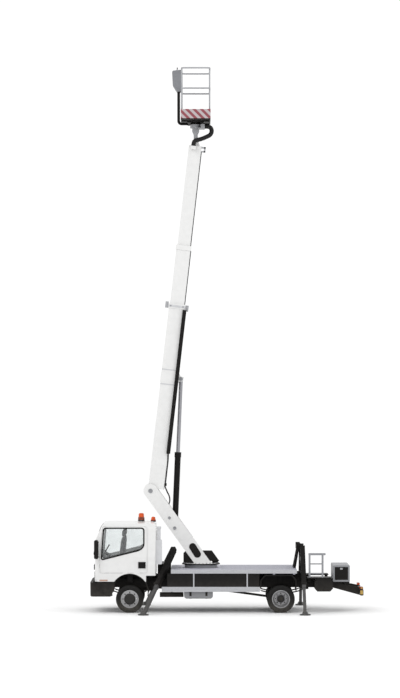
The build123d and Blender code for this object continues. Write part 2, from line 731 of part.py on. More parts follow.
# Turret
def along_column(offset_p, z):
    lean = math.radians(LEAN)
    px, pz = math.cos(lean), math.sin(lean)
    start_x = PIVOT_X + offset_p * px
    start_z = PIVOT_Z + offset_p * pz
    return (start_x + (start_z - z) * math.tan(lean), z)


def column_band(p0, p1, z0, z1):
    return outline([along_column(p0, z0), along_column(p1, z0), along_column(p1, z1),
                    along_column(p0, z1)])


def column_face():
    lean = math.radians(LEAN)
    px, pz = math.cos(lean), math.sin(lean)
    half = COLUMN_HALF
    return outline([along_column(-half, DISC_Z1 - 5), along_column(half, DISC_Z1 - 5),
                    (PIVOT_X + half * px, PIVOT_Z + half * pz),
                    (PIVOT_X - half * px, PIVOT_Z - half * pz)])


PIN_A = (909, 2164)


def turret_column():
    plate = slab_y(column_face(), -PLATE_Y1, -PLATE_Y0)
    plate += rod_y(PIVOT_X, PIVOT_Z, COLUMN_HALF, -PLATE_Y1, -PLATE_Y0)
    plate += rod_y(PIVOT_X, PIVOT_Z, BOSS_R, -PLATE_Y1 - 14, -PLATE_Y0 + 18)
    plate += rod_y(LIFT_PIN_X, LIFT_PIN_Z, 46, -PLATE_Y1 - 14, -PLATE_Y0)
    plate += rod_y(*PIN_A, 35, -PLATE_Y1 - 10, -PLATE_Y0)
    column = pair(plate)
    half = COLUMN_HALF
    front = column_band(-half, -half + WEB_T, DISC_Z1 - 5, FRONT_WEB_Z1)
    rear = column_band(half - WEB_T, half, DISC_Z1 - 5, REAR_WEB_Z1)
    column += slab_y(front, -PLATE_Y0 - 5, PLATE_Y0 + 5) + slab_y(rear, -PLATE_Y0 - 5, PLATE_Y0 + 5)
    column += rod_z(SLEW_X, 0, DISC_R, RING_Z1 + PAD_GAP, DISC_Z1)
    column += rod_y(PIVOT_X, PIVOT_Z, PIVOT_PIN_R, -PLATE_Y1, PLATE_Y1)
    return column + rod_y(LIFT_PIN_X, LIFT_PIN_Z, LIFT_PIN_R, -PLATE_Y1, PLATE_Y1)


def turret_covers():
    foot_x = along_column(-COLUMN_HALF, DISC_Z1)[0]
    top_x = along_column(-COLUMN_HALF, 1381)[0]
    wedge = outline([(SLEW_X - DISC_R + 30, DISC_Z1), (foot_x, DISC_Z1), (top_x, 1381),
                     (SLEW_X - DISC_R + 30, 1330)])
    covers = slab_y(wedge, -150, 150)
    motor = column_band(COLUMN_HALF, COLUMN_HALF + 175, 1150, 1390)
    covers += slab_y(motor, -110, 110)
    covers += rod_z(SLEW_X + 330, 0, 70, DISC_Z1, 1180) - slab_y(column_band(-400, COLUMN_HALF, 1000, 1500),
                                                              -300, 300)
    centre = Pos(1505, 0, 1405) * Rot(0, 58, 0)
    oval = Pos(0, -PLATE_Y1 - 4, 0) * Rot(90, 0, 0) * extrude(SlotOverall(370, 165), amount=4, both=True)
    oval = centre * oval
    return covers + oval + flipped(oval)


# Boom
BOOM = Pos(PIVOT_X, 0, PIVOT_Z) * Rot(0, TILT, 0)


def section(depth, width, u0, u1, wall):
    corner = 28
    outer = Pos(AXIS_V, 0, (u0 + u1) / 2) * extrude(RectangleRounded(depth, width, corner),
                                                    amount=(u1 - u0) / 2, both=True)
    if not wall:
        return outer
    inner = RectangleRounded(depth - 2 * wall, width - 2 * wall, corner - wall)
    return outer - Pos(AXIS_V, 0, (u0 + u1) / 2) * extrude(inner, amount=u1 - u0, both=True)


def collar(depth, width, bore_depth, bore_width, u1):
    ring = Pos(AXIS_V, 0, u1 - COLLAR_L / 2) * Box(depth + 2 * COLLAR_T, width + 2 * COLLAR_T, COLLAR_L)
    hole = extrude(RectangleRounded(bore_depth, bore_width, 20), amount=COLLAR_L * 2, both=True)
    return ring - Pos(AXIS_V, 0, u1) * hole


def mouth_pad(depth, width, next_depth, next_width, u1):
    pad = section(depth - 2 * BOOM_WALL, width - 2 * BOOM_WALL, u1 - 60, u1, 0)
    hole = extrude(RectangleRounded(next_depth + 2 * PAD_GAP, next_width + 2 * PAD_GAP, 28.5),
                   amount=200, both=True)
    return pad - Pos(AXIS_V, 0, u1) * hole


def tail_pad(depth, width, outer_depth, outer_width, u0):
    ring_d = outer_depth - 2 * BOOM_WALL - 2 * PAD_GAP
    ring_w = outer_width - 2 * BOOM_WALL - 2 * PAD_GAP
    ring = Pos(AXIS_V, 0, u0 + PAD_L / 2) * extrude(RectangleRounded(ring_d, ring_w, 19.5),
                                                    amount=PAD_L / 2, both=True)
    return ring - section(depth - 2 * BOOM_WALL, width - 2 * BOOM_WALL, u0 - 10, u0 + PAD_L + 10, 0)


MIDDLE_D = BASE_D - SECTION_STEP
MIDDLE_W = BASE_W - SECTION_STEP
TIP_D = MIDDLE_D - SECTION_STEP
TIP_W = MIDDLE_W - SECTION_STEP


def boom_base():
    tube = section(BASE_D, BASE_W, BASE_U0, BASE_U1, BOOM_WALL)
    tube += section(BASE_D, BASE_W, BASE_U0, BASE_U0 + 12, 0)
    tube += collar(BASE_D, BASE_W, BASE_D - 2 * BOOM_WALL, BASE_W - 2 * BOOM_WALL, BASE_U1)
    tube += mouth_pad(BASE_D, BASE_W, MIDDLE_D, MIDDLE_W, BASE_U1)
    ear = outline([(-58, 0), (58, 0), (240, 120), (240, 330), (-58, 330)])
    for side in (-1, 1):
        y0, y1 = sorted((side * 126, side * 150))
        tube += slab_y(ear, y0, y1) - section(BASE_D - 16, BASE_W - 16, BASE_U0 + 12, 400, 0)
        tube += rod_y(0, 0, BOSS_R, y0, y1)
    tube += rod_y(0, 0, BOSS_R - 6, -130, 130)
    tube -= rod_y(0, 0, PIVOT_PIN_R + RUN_GAP, -300, 300)
    rear_face = AXIS_V + BASE_D / 2
    lug = outline([(rear_face - 4, EYE_U - 190), (rear_face - 4, EYE_U + 190), (EYE_V - 20, EYE_U + EYE_R + 7),
                   (EYE_V + 58, EYE_U + 50), (EYE_V + 58, EYE_U - 50), (EYE_V - 20, EYE_U - 62)], 6)
    for side in (-1, 1):
        inner = ROD_R + LUG_GAP
        y0, y1 = sorted((side * inner, side * (inner + LUG_T)))
        tube += slab_y(lug, y0, y1)
        stub0, stub1 = sorted((side * (EYE_HALF + PAD_GAP), side * (inner + LUG_T + 14)))
        tube += rod_y(EYE_V, EYE_U, EYE_PIN_R, stub0, stub1)
    strap = Pos(AXIS_V, 0, EYE_U) * Box(BASE_D + 20, BASE_W + 20, 240)
    strap -= section(BASE_D, BASE_W, EYE_U - 300, EYE_U + 300, 0)
    strap -= Pos(AXIS_V, -BASE_W / 2 - 30, EYE_U) * Box(900, 60, 300)
    return BOOM * (tube + strap)


def energy_chain():
    rear_face = AXIS_V + BASE_D / 2
    v0, v1 = rear_face - CHAIN_LAP, rear_face - CHAIN_LAP + CHAIN_W
    y0, y1 = -BASE_W / 2 - CHAIN_T, -BASE_W / 2
    chain = box(v0, v1, y0, y1, CHAIN_U0, CHAIN_U1)
    pitch = (CHAIN_U1 - CHAIN_U0) / CHAIN_LINKS
    for k in range(1, CHAIN_LINKS):
        u = CHAIN_U0 + k * pitch
        chain -= box(v0 - 1, v1 + 1, y0 - 1, y0 + 7, u - 7, u + 7)
    return BOOM * chain


def boom_middle():
    tube = section(MIDDLE_D, MIDDLE_W, MIDDLE_U0, MIDDLE_U1, BOOM_WALL)
    tube += tail_pad(MIDDLE_D, MIDDLE_W, BASE_D, BASE_W, MIDDLE_U0)
    tube += collar(MIDDLE_D, MIDDLE_W, MIDDLE_D - 16, MIDDLE_W - 16, MIDDLE_U1)
    tube += mouth_pad(MIDDLE_D, MIDDLE_W, TIP_D, TIP_W, MIDDLE_U1)
    return BOOM * tube


HOSE_Y = -178
HOSE_R = 54
CLAMP_L = 80
CLAMP_U1 = 20


def boom_tip():
    tube = section(TIP_D, TIP_W, TIP_U0, TIP_U1, BOOM_WALL)
    tube += tail_pad(TIP_D, TIP_W, MIDDLE_D, MIDDLE_W, TIP_U0)
    tube += section(TIP_D, TIP_W, TIP_U1 - 14, TIP_U1, 0)
    ear = outline([(AXIS_V - 110, TIP_U1 - 4), (AXIS_V + 110, TIP_U1 - 4), (AXIS_V + 55, LEVEL_U + 20),
                   (AXIS_V - 55, LEVEL_U + 20)])
    for side in (-1, 1):
        y0, y1 = sorted((side * 62, side * 86))
        tube += slab_y(ear, y0, y1) + rod_y(AXIS_V, LEVEL_U, 55, y0, y1)
    tube += rod_y(AXIS_V, LEVEL_U, LEVEL_PIN_R, -100, 100)
    tube += hose_clamp()
    return BOOM * tube


def hose_clamp():
    top = TIP_U1 - CLAMP_U1
    return box(AXIS_V - 100, AXIS_V + 20, HOSE_Y - HOSE_R - 8, -TIP_W / 2, top - CLAMP_L, top)


def lift_axis():
    tilt = math.radians(TILT)
    ex = PIVOT_X + EYE_U * math.sin(tilt) + EYE_V * math.cos(tilt)
    ez = PIVOT_Z + EYE_U * math.cos(tilt) - EYE_V * math.sin(tilt)
    dx, dz = ex - LIFT_PIN_X, ez - LIFT_PIN_Z
    return math.degrees(math.atan2(dx, dz)), math.hypot(dx, dz)


LIFT_ANGLE, LIFT_LENGTH = lift_axis()
LIFT = Pos(LIFT_PIN_X, 0, LIFT_PIN_Z) * Rot(0, LIFT_ANGLE, 0)


def lift_cylinder():
    head = BARREL_L - GLAND_L
    bore = BARREL_R - 10
    gland = ROD_R + PAD_GAP
    profile = outline([(0, 60), (BARREL_R, 60), (BARREL_R, head - 80), (BARREL_R + 8, head - 70),
                       (BARREL_R + 8, BARREL_L), (gland, BARREL_L), (gland, head), (bore, head),
                       (bore, BARREL_FLOOR), (0, BARREL_FLOOR)])
    barrel = revolve(Plane.XZ * profile, axis=Axis.Z)
    eye = rod_y(0, 0, 62, -70, 70) + box(-50, 50, -60, 60, 0, 70)
    eye -= rod_y(0, 0, LIFT_PIN_R + RUN_GAP, -100, 100)
    pipe = box(-12, 12, -BARREL_R - 24, -BARREL_R + 4, 140, BARREL_L - 60)
    return LIFT * (barrel + eye + pipe)


def lift_rod():
    low = LIFT_LENGTH - ROD_L
    shank = ROD_L - EYE_DROP
    rod = Pos(0, 0, low + shank / 2) * Cylinder(ROD_R, shank)
    rod += Pos(0, 0, low + PISTON_L / 2) * Cylinder(BARREL_R - 10 - PAD_GAP, PISTON_L)
    rod += rod_y(0, LIFT_LENGTH, EYE_R, -EYE_HALF, EYE_HALF)
    return LIFT * rod


# Basket
TILT_R = math.radians(TILT)
LEVEL_X = PIVOT_X + LEVEL_U * math.sin(TILT_R) + AXIS_V * math.cos(TILT_R)
LEVEL_Z = PIVOT_Z + LEVEL_U * math.cos(TILT_R) - AXIS_V * math.sin(TILT_R)
BASKET = Pos(LEVEL_X, 0, LEVEL_Z)


def hose_plate():
    return box(120, 210, HOSE_Y - HOSE_R - 8, -60, 292, 398)


def basket_link():
    eye = rod_y(0, 0, 52, -58, 58) - rod_y(0, 0, LEVEL_PIN_R + RUN_GAP, -100, 100)
    post = outline([(-48, 20), (48, 20), (48, 165), (82, 240), (82, 330), (-82, 330), (-82, 240),
                    (-48, 165)])
    post = slab_y(post, -58, 58) - rod_y(0, 0, LEVEL_PIN_R + RUN_GAP, -100, 100)
    link = eye + post + rod_z(0, 0, 130, 320, BASKET_BOTTOM - PAD_GAP)
    arm = box(60, 210, HOSE_Y - HOSE_R - 8, 58, 290, 315)
    link += arm + hose_plate()
    return BASKET * link


def rail_loop(z):
    x1, y1 = BASKET_L / 2 - RAIL_TUBE / 2, BASKET_W / 2 - RAIL_TUBE / 2
    path = FilletPolyline((0, -y1, z), (x1, -y1, z), (x1, y1, z), (-x1, y1, z), (-x1, -y1, z),
                          radius=[0] + [90] * 4, close=True)
    ring = Plane(origin=(0, -y1, z), z_dir=(1, 0, 0)) * Circle(RAIL_TUBE / 2)
    return sweep(ring, path=path)


def post_stations():
    x = BASKET_L / 2 - TOE_T - RUN_GAP - POST_R
    y = BASKET_W / 2 - 115
    return [(sx * x, sy * y) for sx in (-1, 1) for sy in (-1, 0, 1)]


def basket_frame():
    frame = rail_loop(BASKET_TOP - RAIL_TUBE / 2) + rail_loop(BASKET_TOP - 490)
    for x, y in post_stations():
        frame += rod_z(x, y, POST_R, BASKET_FLOOR, BASKET_TOP - RAIL_TUBE / 2)
    return BASKET * frame


def basket_floor():
    x1, y1 = BASKET_L / 2, BASKET_W / 2
    under = BASKET_FLOOR - FLOOR_T
    floor = box(-x1, x1, -y1, y1, under, BASKET_FLOOR)
    for side in (-1, 1):
        floor += box(side * UNDER_X - 40, side * UNDER_X + 40, -UNDER_Y, UNDER_Y, BASKET_BOTTOM + 10, under + 1)
        floor += box(-x1 + 25, x1 - 25, side * UNDER_Y - 30, side * UNDER_Y + 30, BASKET_BOTTOM + 30, under + 1)
    floor += rod_z(0, 0, HUB_BASKET_R, BASKET_BOTTOM, under + 1)
    return BASKET * (floor + conduit())


def toe_boards():
    x1, y1 = BASKET_L / 2, BASKET_W / 2
    top = BASKET_FLOOR + TOE_H
    board = box(-x1, x1, -y1, y1, BASKET_FLOOR, top)
    board -= box(-x1 + TOE_T, x1 - TOE_T, -y1 + TOE_T, y1 - TOE_T, BASKET_FLOOR - 1, top + 1)
    return BASKET * board


def control_box():
    x0 = -BASKET_L / 2
    top, low = BASKET_TOP - 20, BASKET_TOP - 20 - BOX_H
    face = outline([(x0, top), (x0 - BOX_D + 12, top - 22), (x0 - BOX_D, top - 60), (x0 - BOX_D + 15, low + 150),
                    (x0 - 95, low), (x0, low)], [10, 25, 25, 60, 40, 0])
    return BASKET * slab_y(face, -260, 140)


def conduit():
    x0 = -BASKET_L / 2 - CONDUIT_R - 20
    low = BASKET_BOTTOM + 12
    path = FilletPolyline((x0, -60, BASKET_TOP - 20 - BOX_H), (x0, -60, low), (-UNDER_X - 20, -60, low),
                          radius=[70])
    ring = Plane(origin=path @ 0, z_dir=path % 0) * Circle(CONDUIT_R)
    return sweep(ring, path=path)


def basket_hose():
    end = BOOM * Pos(AXIS_V - 40, HOSE_Y, TIP_U1 - CLAMP_U1 + RUN_GAP)
    ex, ez = end.position.X - LEVEL_X, end.position.Z - LEVEL_Z
    rise = 120
    path = FilletPolyline((210.3, HOSE_Y, 345), (372, HOSE_Y, 345), (372, HOSE_Y, 160), (150, HOSE_Y, 60),
                          (ex + rise * math.sin(TILT_R), HOSE_Y, ez + rise * math.cos(TILT_R)),
                          (ex, HOSE_Y, ez), radius=[110, 110, 90, 70])
    ring = Plane(origin=path @ 0, z_dir=path % 0) * Circle(HOSE_R)
    return BASKET * sweep(ring, path=path)


def build():
    shell, panes, door, door_glass = cab_pieces()
    nodes = {
        "chassis_frame": chassis_frame(), "subframe": subframe(), "slew_ring": slew_ring(),
        "stabiliser_tubes": stabiliser_tubes(), "deck": deck(), "skirt_panels": skirt_panels(),
        "skirt_rails": skirt_rails(), "cab_shell": shell, "cab_glass": panes,
        "dashboard": dashboard(), "seats": pair(seat(-420)), "front_bumper": bumper(),
        "mirrors": mirrors(), "beacons": beacons(), "snorkel": snorkel(),
        "front_arches": front_arches(), "rear_mudguards": rear_mudguards(),
        "engine_block": engine_block(), "front_axle": front_axle(), "rear_axle": rear_axle(),
        "leaf_springs": leaf_springs(), "fuel_tank": fuel_tank(), "boom_rest": boom_rest(),
        "tail_frame": tail_frame(), "ladder": ladder(), "oil_tank": oil_tank(),
        "rear_locker": rear_locker(), "tail_lamps": tail_lamps(),
        "left_door": door, "left_door_glass": door_glass,
        "right_door": flipped(door), "right_door_glass": flipped(door_glass),
        "turret_column": turret_column(), "turret_covers": turret_covers(),
        "boom_base": boom_base(), "energy_chain": energy_chain(), "boom_middle": boom_middle(),
        "boom_tip": boom_tip(), "lift_cylinder": lift_cylinder(), "lift_rod": lift_rod(),
        "basket_link": basket_link(), "basket_frame": basket_frame(), "basket_floor": basket_floor(),
        "toe_boards": toe_boards(), "control_box": control_box(), "basket_hose": basket_hose(),
    }
    for word, side in (("left", -1), ("right", 1)):
        nodes[f"front_{word}_knuckle"] = knuckle(side)
        nodes[f"front_{word}_rim"] = front_rim(side)
        nodes[f"front_{word}_tyre"] = wheel_tyres(0, side, [FRONT_WHEEL_Y])
        nodes[f"rear_{word}_rims"] = rear_rims(side)
        nodes[f"rear_{word}_tyres"] = wheel_tyres(WHEELBASE, side, [REAR_INNER_Y, REAR_OUTER_Y])
        for row in STABILISERS:
            nodes[f"{row[0]}_{word}_leg"] = stab_leg(row, side)
    return nodes


for name, shape in build().items():
    export_step(Pos(SHIFT_X, 0, 0) * shape, f"parts/{name}.step")
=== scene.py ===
import math

import bpy
from mathutils import Matrix, Vector


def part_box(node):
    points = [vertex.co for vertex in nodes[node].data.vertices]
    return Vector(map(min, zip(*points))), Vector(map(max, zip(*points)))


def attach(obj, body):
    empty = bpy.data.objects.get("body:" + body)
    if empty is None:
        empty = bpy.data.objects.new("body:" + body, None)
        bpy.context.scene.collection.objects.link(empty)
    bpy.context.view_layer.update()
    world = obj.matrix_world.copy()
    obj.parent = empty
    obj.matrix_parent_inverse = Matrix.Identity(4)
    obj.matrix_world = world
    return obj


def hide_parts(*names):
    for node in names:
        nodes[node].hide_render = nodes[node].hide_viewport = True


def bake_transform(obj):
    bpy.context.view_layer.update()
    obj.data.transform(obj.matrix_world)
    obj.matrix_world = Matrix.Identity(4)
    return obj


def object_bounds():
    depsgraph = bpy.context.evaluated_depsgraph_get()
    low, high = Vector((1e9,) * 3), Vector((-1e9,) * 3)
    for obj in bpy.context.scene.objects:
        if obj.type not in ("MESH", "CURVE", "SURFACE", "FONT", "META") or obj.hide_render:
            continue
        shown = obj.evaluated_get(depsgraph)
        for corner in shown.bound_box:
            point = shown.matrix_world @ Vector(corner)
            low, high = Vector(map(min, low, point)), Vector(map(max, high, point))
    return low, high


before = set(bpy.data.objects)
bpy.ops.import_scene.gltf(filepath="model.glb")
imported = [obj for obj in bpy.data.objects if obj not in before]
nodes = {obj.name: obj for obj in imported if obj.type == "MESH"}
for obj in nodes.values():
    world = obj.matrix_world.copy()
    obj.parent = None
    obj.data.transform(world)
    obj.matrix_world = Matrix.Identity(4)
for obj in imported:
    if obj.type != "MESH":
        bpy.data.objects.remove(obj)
cad_low, cad_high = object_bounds()

# Driving places in metres, in the row frame: +X to the rear, -Y the near side, +Z up
FRONT_AXLE_X = -2.2255
BOOM_TILT = math.radians(6.5)
PIVOT = Vector((FRONT_AXLE_X + 0.4675, 0.0, 2.792))
U = Vector((math.sin(BOOM_TILT), 0.0, math.cos(BOOM_TILT)))
V = Vector((math.cos(BOOM_TILT), 0.0, -math.sin(BOOM_TILT)))
LIFT_PIN = Vector((FRONT_AXLE_X + 1.033, 0.0, 1.926))
SLEW_X = FRONT_AXLE_X + 1.645
ROD_EYE_UV = (2.671, 0.411)
BOOM_AXIS_V = 0.125
SIDES = (-1, 1)


def on_boom(u, v, y=0.0):
    """A place given along the boom (u), across it to the rear (v) and to the side (y)."""
    return PIVOT + U * u + V * v + Vector((0, y, 0))


def corners(node):
    """The low and the high corner of a node's box."""
    low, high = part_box(node)
    return Vector(low), Vector(high)


def middle(node):
    """The middle of a node's box."""
    low, high = corners(node)
    return (low + high) / 2


# Finishes
NOISE_DETAIL = 5.0
RAMP_ENDS = (0.3, 0.7)
GLOSS_DRIFT = 0.08
LEAST_ROUGHNESS = 0.03
BUMP_DEPTH = 0.002
DIRT_FOOT_Z = 0.1
MOST_DIRT = 0.6
GLASS_IOR = 1.2


def finish(name, colour, rough, metal=0.0, grain=9.0, vary=0.07, bump=0.0, bump_grain=400.0, coat=0.0,
           dirt=None, dirt_top=1.2, shine=0.5):
    """A procedural finish: colour and gloss drift over the surface, with road dirt below dirt_top."""
    mat = bpy.data.materials.new(name)
    mat.use_nodes = True
    tree = mat.node_tree
    shader = tree.nodes["Principled BSDF"]
    place = tree.nodes.new("ShaderNodeTexCoord").outputs["Object"]
    noise = tree.nodes.new("ShaderNodeTexNoise")
    noise.inputs["Scale"].default_value = grain
    noise.inputs["Detail"].default_value = NOISE_DETAIL
    tree.links.new(place, noise.inputs["Vector"])
    ramp = tree.nodes.new("ShaderNodeValToRGB")
    dark, bright = ramp.color_ramp.elements
    dark.position, bright.position = RAMP_ENDS
    dark.color = [c * (1 - vary) for c in colour] + [1]
    bright.color = [min(1, c * (1 + vary)) for c in colour] + [1]
    tree.links.new(noise.outputs["Fac"], ramp.inputs["Fac"])
    tint = ramp.outputs["Color"]
    if dirt:
        tint = add_dirt(tree, place, noise.outputs["Fac"], tint, dirt, dirt_top)
    tree.links.new(tint, shader.inputs["Base Color"])
    gloss = tree.nodes.new("ShaderNodeMapRange")
    gloss.inputs["To Min"].default_value = max(LEAST_ROUGHNESS, rough - GLOSS_DRIFT)
    gloss.inputs["To Max"].default_value = min(1, rough + GLOSS_DRIFT)
    tree.links.new(noise.outputs["Fac"], gloss.inputs["Value"])
    tree.links.new(gloss.outputs["Result"], shader.inputs["Roughness"])
    shader.inputs["Metallic"].default_value = metal
    shader.inputs["Coat Weight"].default_value = coat
    shader.inputs["Specular IOR Level"].default_value = shine
    if bump:
        grainy = tree.nodes.new("ShaderNodeTexNoise")
        grainy.inputs["Scale"].default_value = bump_grain
        tree.links.new(place, grainy.inputs["Vector"])
        relief = tree.nodes.new("ShaderNodeBump")
        relief.inputs["Strength"].default_value = bump
        relief.inputs["Distance"].default_value = BUMP_DEPTH
        tree.links.new(grainy.outputs["Fac"], relief.inputs["Height"])
        tree.links.new(relief.outputs["Normal"], shader.inputs["Normal"])
    return mat


def add_dirt(tree, place, noise, tint, dirt, dirt_top):
    """Mixes in a patchy dirt colour that fades out towards dirt_top."""
    split = tree.nodes.new("ShaderNodeSeparateXYZ")
    tree.links.new(place, split.inputs["Vector"])
    height = tree.nodes.new("ShaderNodeMapRange")
    height.inputs["From Min"].default_value = DIRT_FOOT_Z
    height.inputs["From Max"].default_value = dirt_top
    height.inputs["To Min"].default_value = MOST_DIRT
    height.inputs["To Max"].default_value = 0.0
    tree.links.new(split.outputs["Z"], height.inputs["Value"])
    share = tree.nodes.new("ShaderNodeMath")
    share.operation = "MULTIPLY"
    tree.links.new(height.outputs["Result"], share.inputs[0])
    tree.links.new(noise, share.inputs[1])
    mix = tree.nodes.new("ShaderNodeMix")
    mix.data_type = "RGBA"
    tree.links.new(share.outputs["Value"], mix.inputs["Factor"])
    tree.links.new(tint, mix.inputs["A"])
    mix.inputs["B"].default_value = list(dirt) + [1]
    return mix.outputs["Result"]


def glass(name, colour, rough=0.02, clear=0.92):
    """Clear or tinted glass, or the plastic of a lens."""
    mat = finish(name, colour, rough, grain=4.0, vary=0.04)
    shader = mat.node_tree.nodes["Principled BSDF"]
    shader.inputs["Transmission Weight"].default_value = clear
    shader.inputs["IOR"].default_value = GLASS_IOR
    return mat


def striped(name, period, first, second):
    """Diagonal stripes that run round the toe boards on all four sides."""
    mat = finish(name, first, 0.45, grain=14.0, vary=0.1)
    tree = mat.node_tree
    shader = tree.nodes["Principled BSDF"]
    base = shader.inputs["Base Color"].links[0].from_socket
    place = tree.nodes.new("ShaderNodeTexCoord").outputs["Object"]
    split = tree.nodes.new("ShaderNodeSeparateXYZ")
    tree.links.new(place, split.inputs["Vector"])
    total = split.outputs["X"]
    for axis in ("Y", "Z"):
        plus = tree.nodes.new("ShaderNodeMath")
        plus.operation = "ADD"
        tree.links.new(total, plus.inputs[0])
        tree.links.new(split.outputs[axis], plus.inputs[1])
        total = plus.outputs["Value"]
    wave = tree.nodes.new("ShaderNodeMath")
    wave.operation = "PINGPONG"
    wave.inputs[1].default_value = period / 2
    tree.links.new(total, wave.inputs[0])
    step = tree.nodes.new("ShaderNodeMath")
    step.operation = "GREATER_THAN"
    step.inputs[1].default_value = period / 4
    tree.links.new(wave.outputs["Value"], step.inputs[0])
    mix = tree.nodes.new("ShaderNodeMix")
    mix.data_type = "RGBA"
    tree.links.new(step.outputs["Value"], mix.inputs["Factor"])
    tree.links.new(base, mix.inputs["A"])
    mix.inputs["B"].default_value = list(second) + [1]
    tree.links.new(mix.outputs["Result"], shader.inputs["Base Color"])
    return mat


DUST = (0.12, 0.11, 0.095)
WHITE = finish("white enamel", (0.70, 0.70, 0.695), 0.32, vary=0.025, coat=0.2,
               dirt=(0.36, 0.35, 0.33), dirt_top=1.0)
BLACK_STEEL = finish("black chassis paint", (0.0075, 0.0066, 0.0061), 0.5, vary=0.3, bump=0.15, dirt=DUST,
                     dirt_top=0.8, shine=0.12)
DARK_STEEL = finish("dark grey enamel", (0.050, 0.051, 0.054), 0.45, vary=0.15, bump=0.1, dirt=DUST,
                    shine=0.3)
GREY_STEEL = finish("grey enamel", (0.23, 0.235, 0.25), 0.42, vary=0.08, bump=0.06, dirt=DUST, dirt_top=0.8)
LIGHT_STEEL = finish("light grey enamel", (0.34, 0.345, 0.36), 0.42, vary=0.06, bump=0.08)
PALE_STEEL = finish("pale grey enamel", (0.52, 0.525, 0.54), 0.42, vary=0.05, bump=0.06)
BLACK_PLASTIC = finish("grained black plastic", (0.008, 0.0071, 0.0066), 0.55, vary=0.25, bump=0.35,
                       bump_grain=900, dirt=DUST, dirt_top=0.8, shine=0.15)
GLASS = glass("clear glass", (0.93, 0.955, 0.955))
ALUMINIUM = finish("brushed aluminium", (0.45, 0.455, 0.475), 0.38, metal=0.6, grain=26, vary=0.08,
                   bump=0.1)
DECK_PLY = finish("lavender grey deck", (0.40, 0.40, 0.46), 0.6, grain=16, vary=0.12, bump=0.5,
                  bump_grain=160)
CLOTH = finish("dark woven cloth", (0.018, 0.018, 0.021), 0.9, grain=70, vary=0.3, bump=0.6,
               bump_grain=1200, shine=0.15)
AMBER = glass("orange lens", (0.80, 0.13, 0.04), rough=0.15, clear=0.25)
RED_LENS = glass("red lens", (0.28, 0.012, 0.010), rough=0.12, clear=0.2)
CLEAR_LENS = glass("clear lens", (0.90, 0.92, 0.92), rough=0.05, clear=0.8)
RIM = finish("silver rim paint", (0.42, 0.42, 0.43), 0.35, metal=0.3, vary=0.08, bump=0.05, dirt=DUST,
             dirt_top=0.5)
HUB_BLACK = finish("greasy black hub", (0.014, 0.013, 0.012), 0.45, grain=30, vary=0.3, bump=0.1, shine=0.3)
TYRE = finish("tyre rubber", (0.012, 0.0115, 0.011), 0.75, grain=24, vary=0.3, bump=0.3, dirt=DUST,
              dirt_top=0.35, shine=0.2)
CHROME = finish("chromed rod", (0.32, 0.32, 0.34), 0.18, metal=0.9, grain=30, vary=0.05, bump=0.02)
STRIPES = striped("red and white stripes", 0.17, (0.23, 0.045, 0.060), (0.42, 0.37, 0.38))
BOX_GREY = finish("grey control box", (0.195, 0.20, 0.215), 0.5, vary=0.06, bump=0.2, bump_grain=700)
RUBBER = finish("hose rubber", (0.010, 0.010, 0.010), 0.6, grain=40, vary=0.3, bump=0.2, shine=0.25)
BEACON_BASE = finish("dark lamp base", (0.03, 0.02, 0.02), 0.5, vary=0.2, bump=0.1)
REFLECTOR = finish("amber reflector", (0.42, 0.27, 0.06), 0.3, grain=120, vary=0.2, bump=0.1)
MARKER = finish("dull side marker", (0.42, 0.26, 0.20), 0.35, grain=90, vary=0.15, bump=0.1)
MIRROR_FACE = finish("silvered mirror", (0.75, 0.77, 0.78), 0.05, metal=1.0, grain=3, vary=0.02)
STOP_RED = finish("red push button", (0.45, 0.02, 0.02), 0.35, grain=60, vary=0.1, bump=0.05)

# columns: finish, the nodes that wear it
WEARS = [
    (WHITE, "cab_shell left_door right_door turret_column boom_base boom_middle boom_tip"),
    (BLACK_STEEL, "chassis_frame subframe front_axle rear_axle leaf_springs boom_rest tail_frame "
                  "front_left_knuckle front_right_knuckle lift_cylinder basket_floor engine_block "
                  "stabiliser_tubes"),
    (DARK_STEEL, "front_left_leg front_right_leg rear_left_leg rear_right_leg"),
    (GREY_STEEL, "slew_ring fuel_tank ladder rear_locker"),
    (LIGHT_STEEL, "basket_frame basket_link"),
    (BLACK_PLASTIC, "front_bumper mirrors front_arches rear_mudguards skirt_panels oil_tank turret_covers "
                    "dashboard energy_chain"),
    (BOX_GREY, "control_box"),
    (PALE_STEEL, "snorkel"),
    (GLASS, "cab_glass left_door_glass right_door_glass"),
    (ALUMINIUM, "skirt_rails"),
    (DECK_PLY, "deck"),
    (CLOTH, "seats"),
    (AMBER, "beacons"),
    (RED_LENS, "tail_lamps"),
    (RIM, "front_left_rim front_right_rim rear_left_rims rear_right_rims"),
    (TYRE, "front_left_tyre front_right_tyre rear_left_tyres rear_right_tyres"),
    (CHROME, "lift_rod"),
    (STRIPES, "toe_boards"),
    (RUBBER, "basket_hose"),
]
for mat, names in WEARS:
    for name in names.split():
        nodes[name].data.materials.clear()
        nodes[name].data.materials.append(mat)


# Building small pieces
BOX_FACES = [(0, 1, 3, 2), (4, 6, 7, 5), (0, 4, 5, 1), (2, 3, 7, 6), (0, 2, 6, 4), (1, 5, 7, 3)]


def turns(count):
    """Angles spread evenly over a full turn."""
    return [2 * math.pi * k / count for k in range(count)]


def rings(points, directions, radii, sides):
    """A ring of places round each point, square to its direction and without twist."""
    across = None
    verts = []
    for point, ahead, radius in zip(points, directions, radii):
        if across is None:
            across = ahead.orthogonal().normalized()
        across = (across - ahead * across.dot(ahead)).normalized()
        other = ahead.cross(across)
        for a in turns(sides):
            verts.append(point + (across * math.cos(a) + other * math.sin(a)) * radius)
    return verts


def ring_faces(first, second, sides):
    """The faces between two rings, which are given by their numbers."""
    faces = []
    for j in range(sides):
        n = (j + 1) % sides
        faces.append((first * sides + j, first * sides + n, second * sides + n, second * sides + j))
    return faces


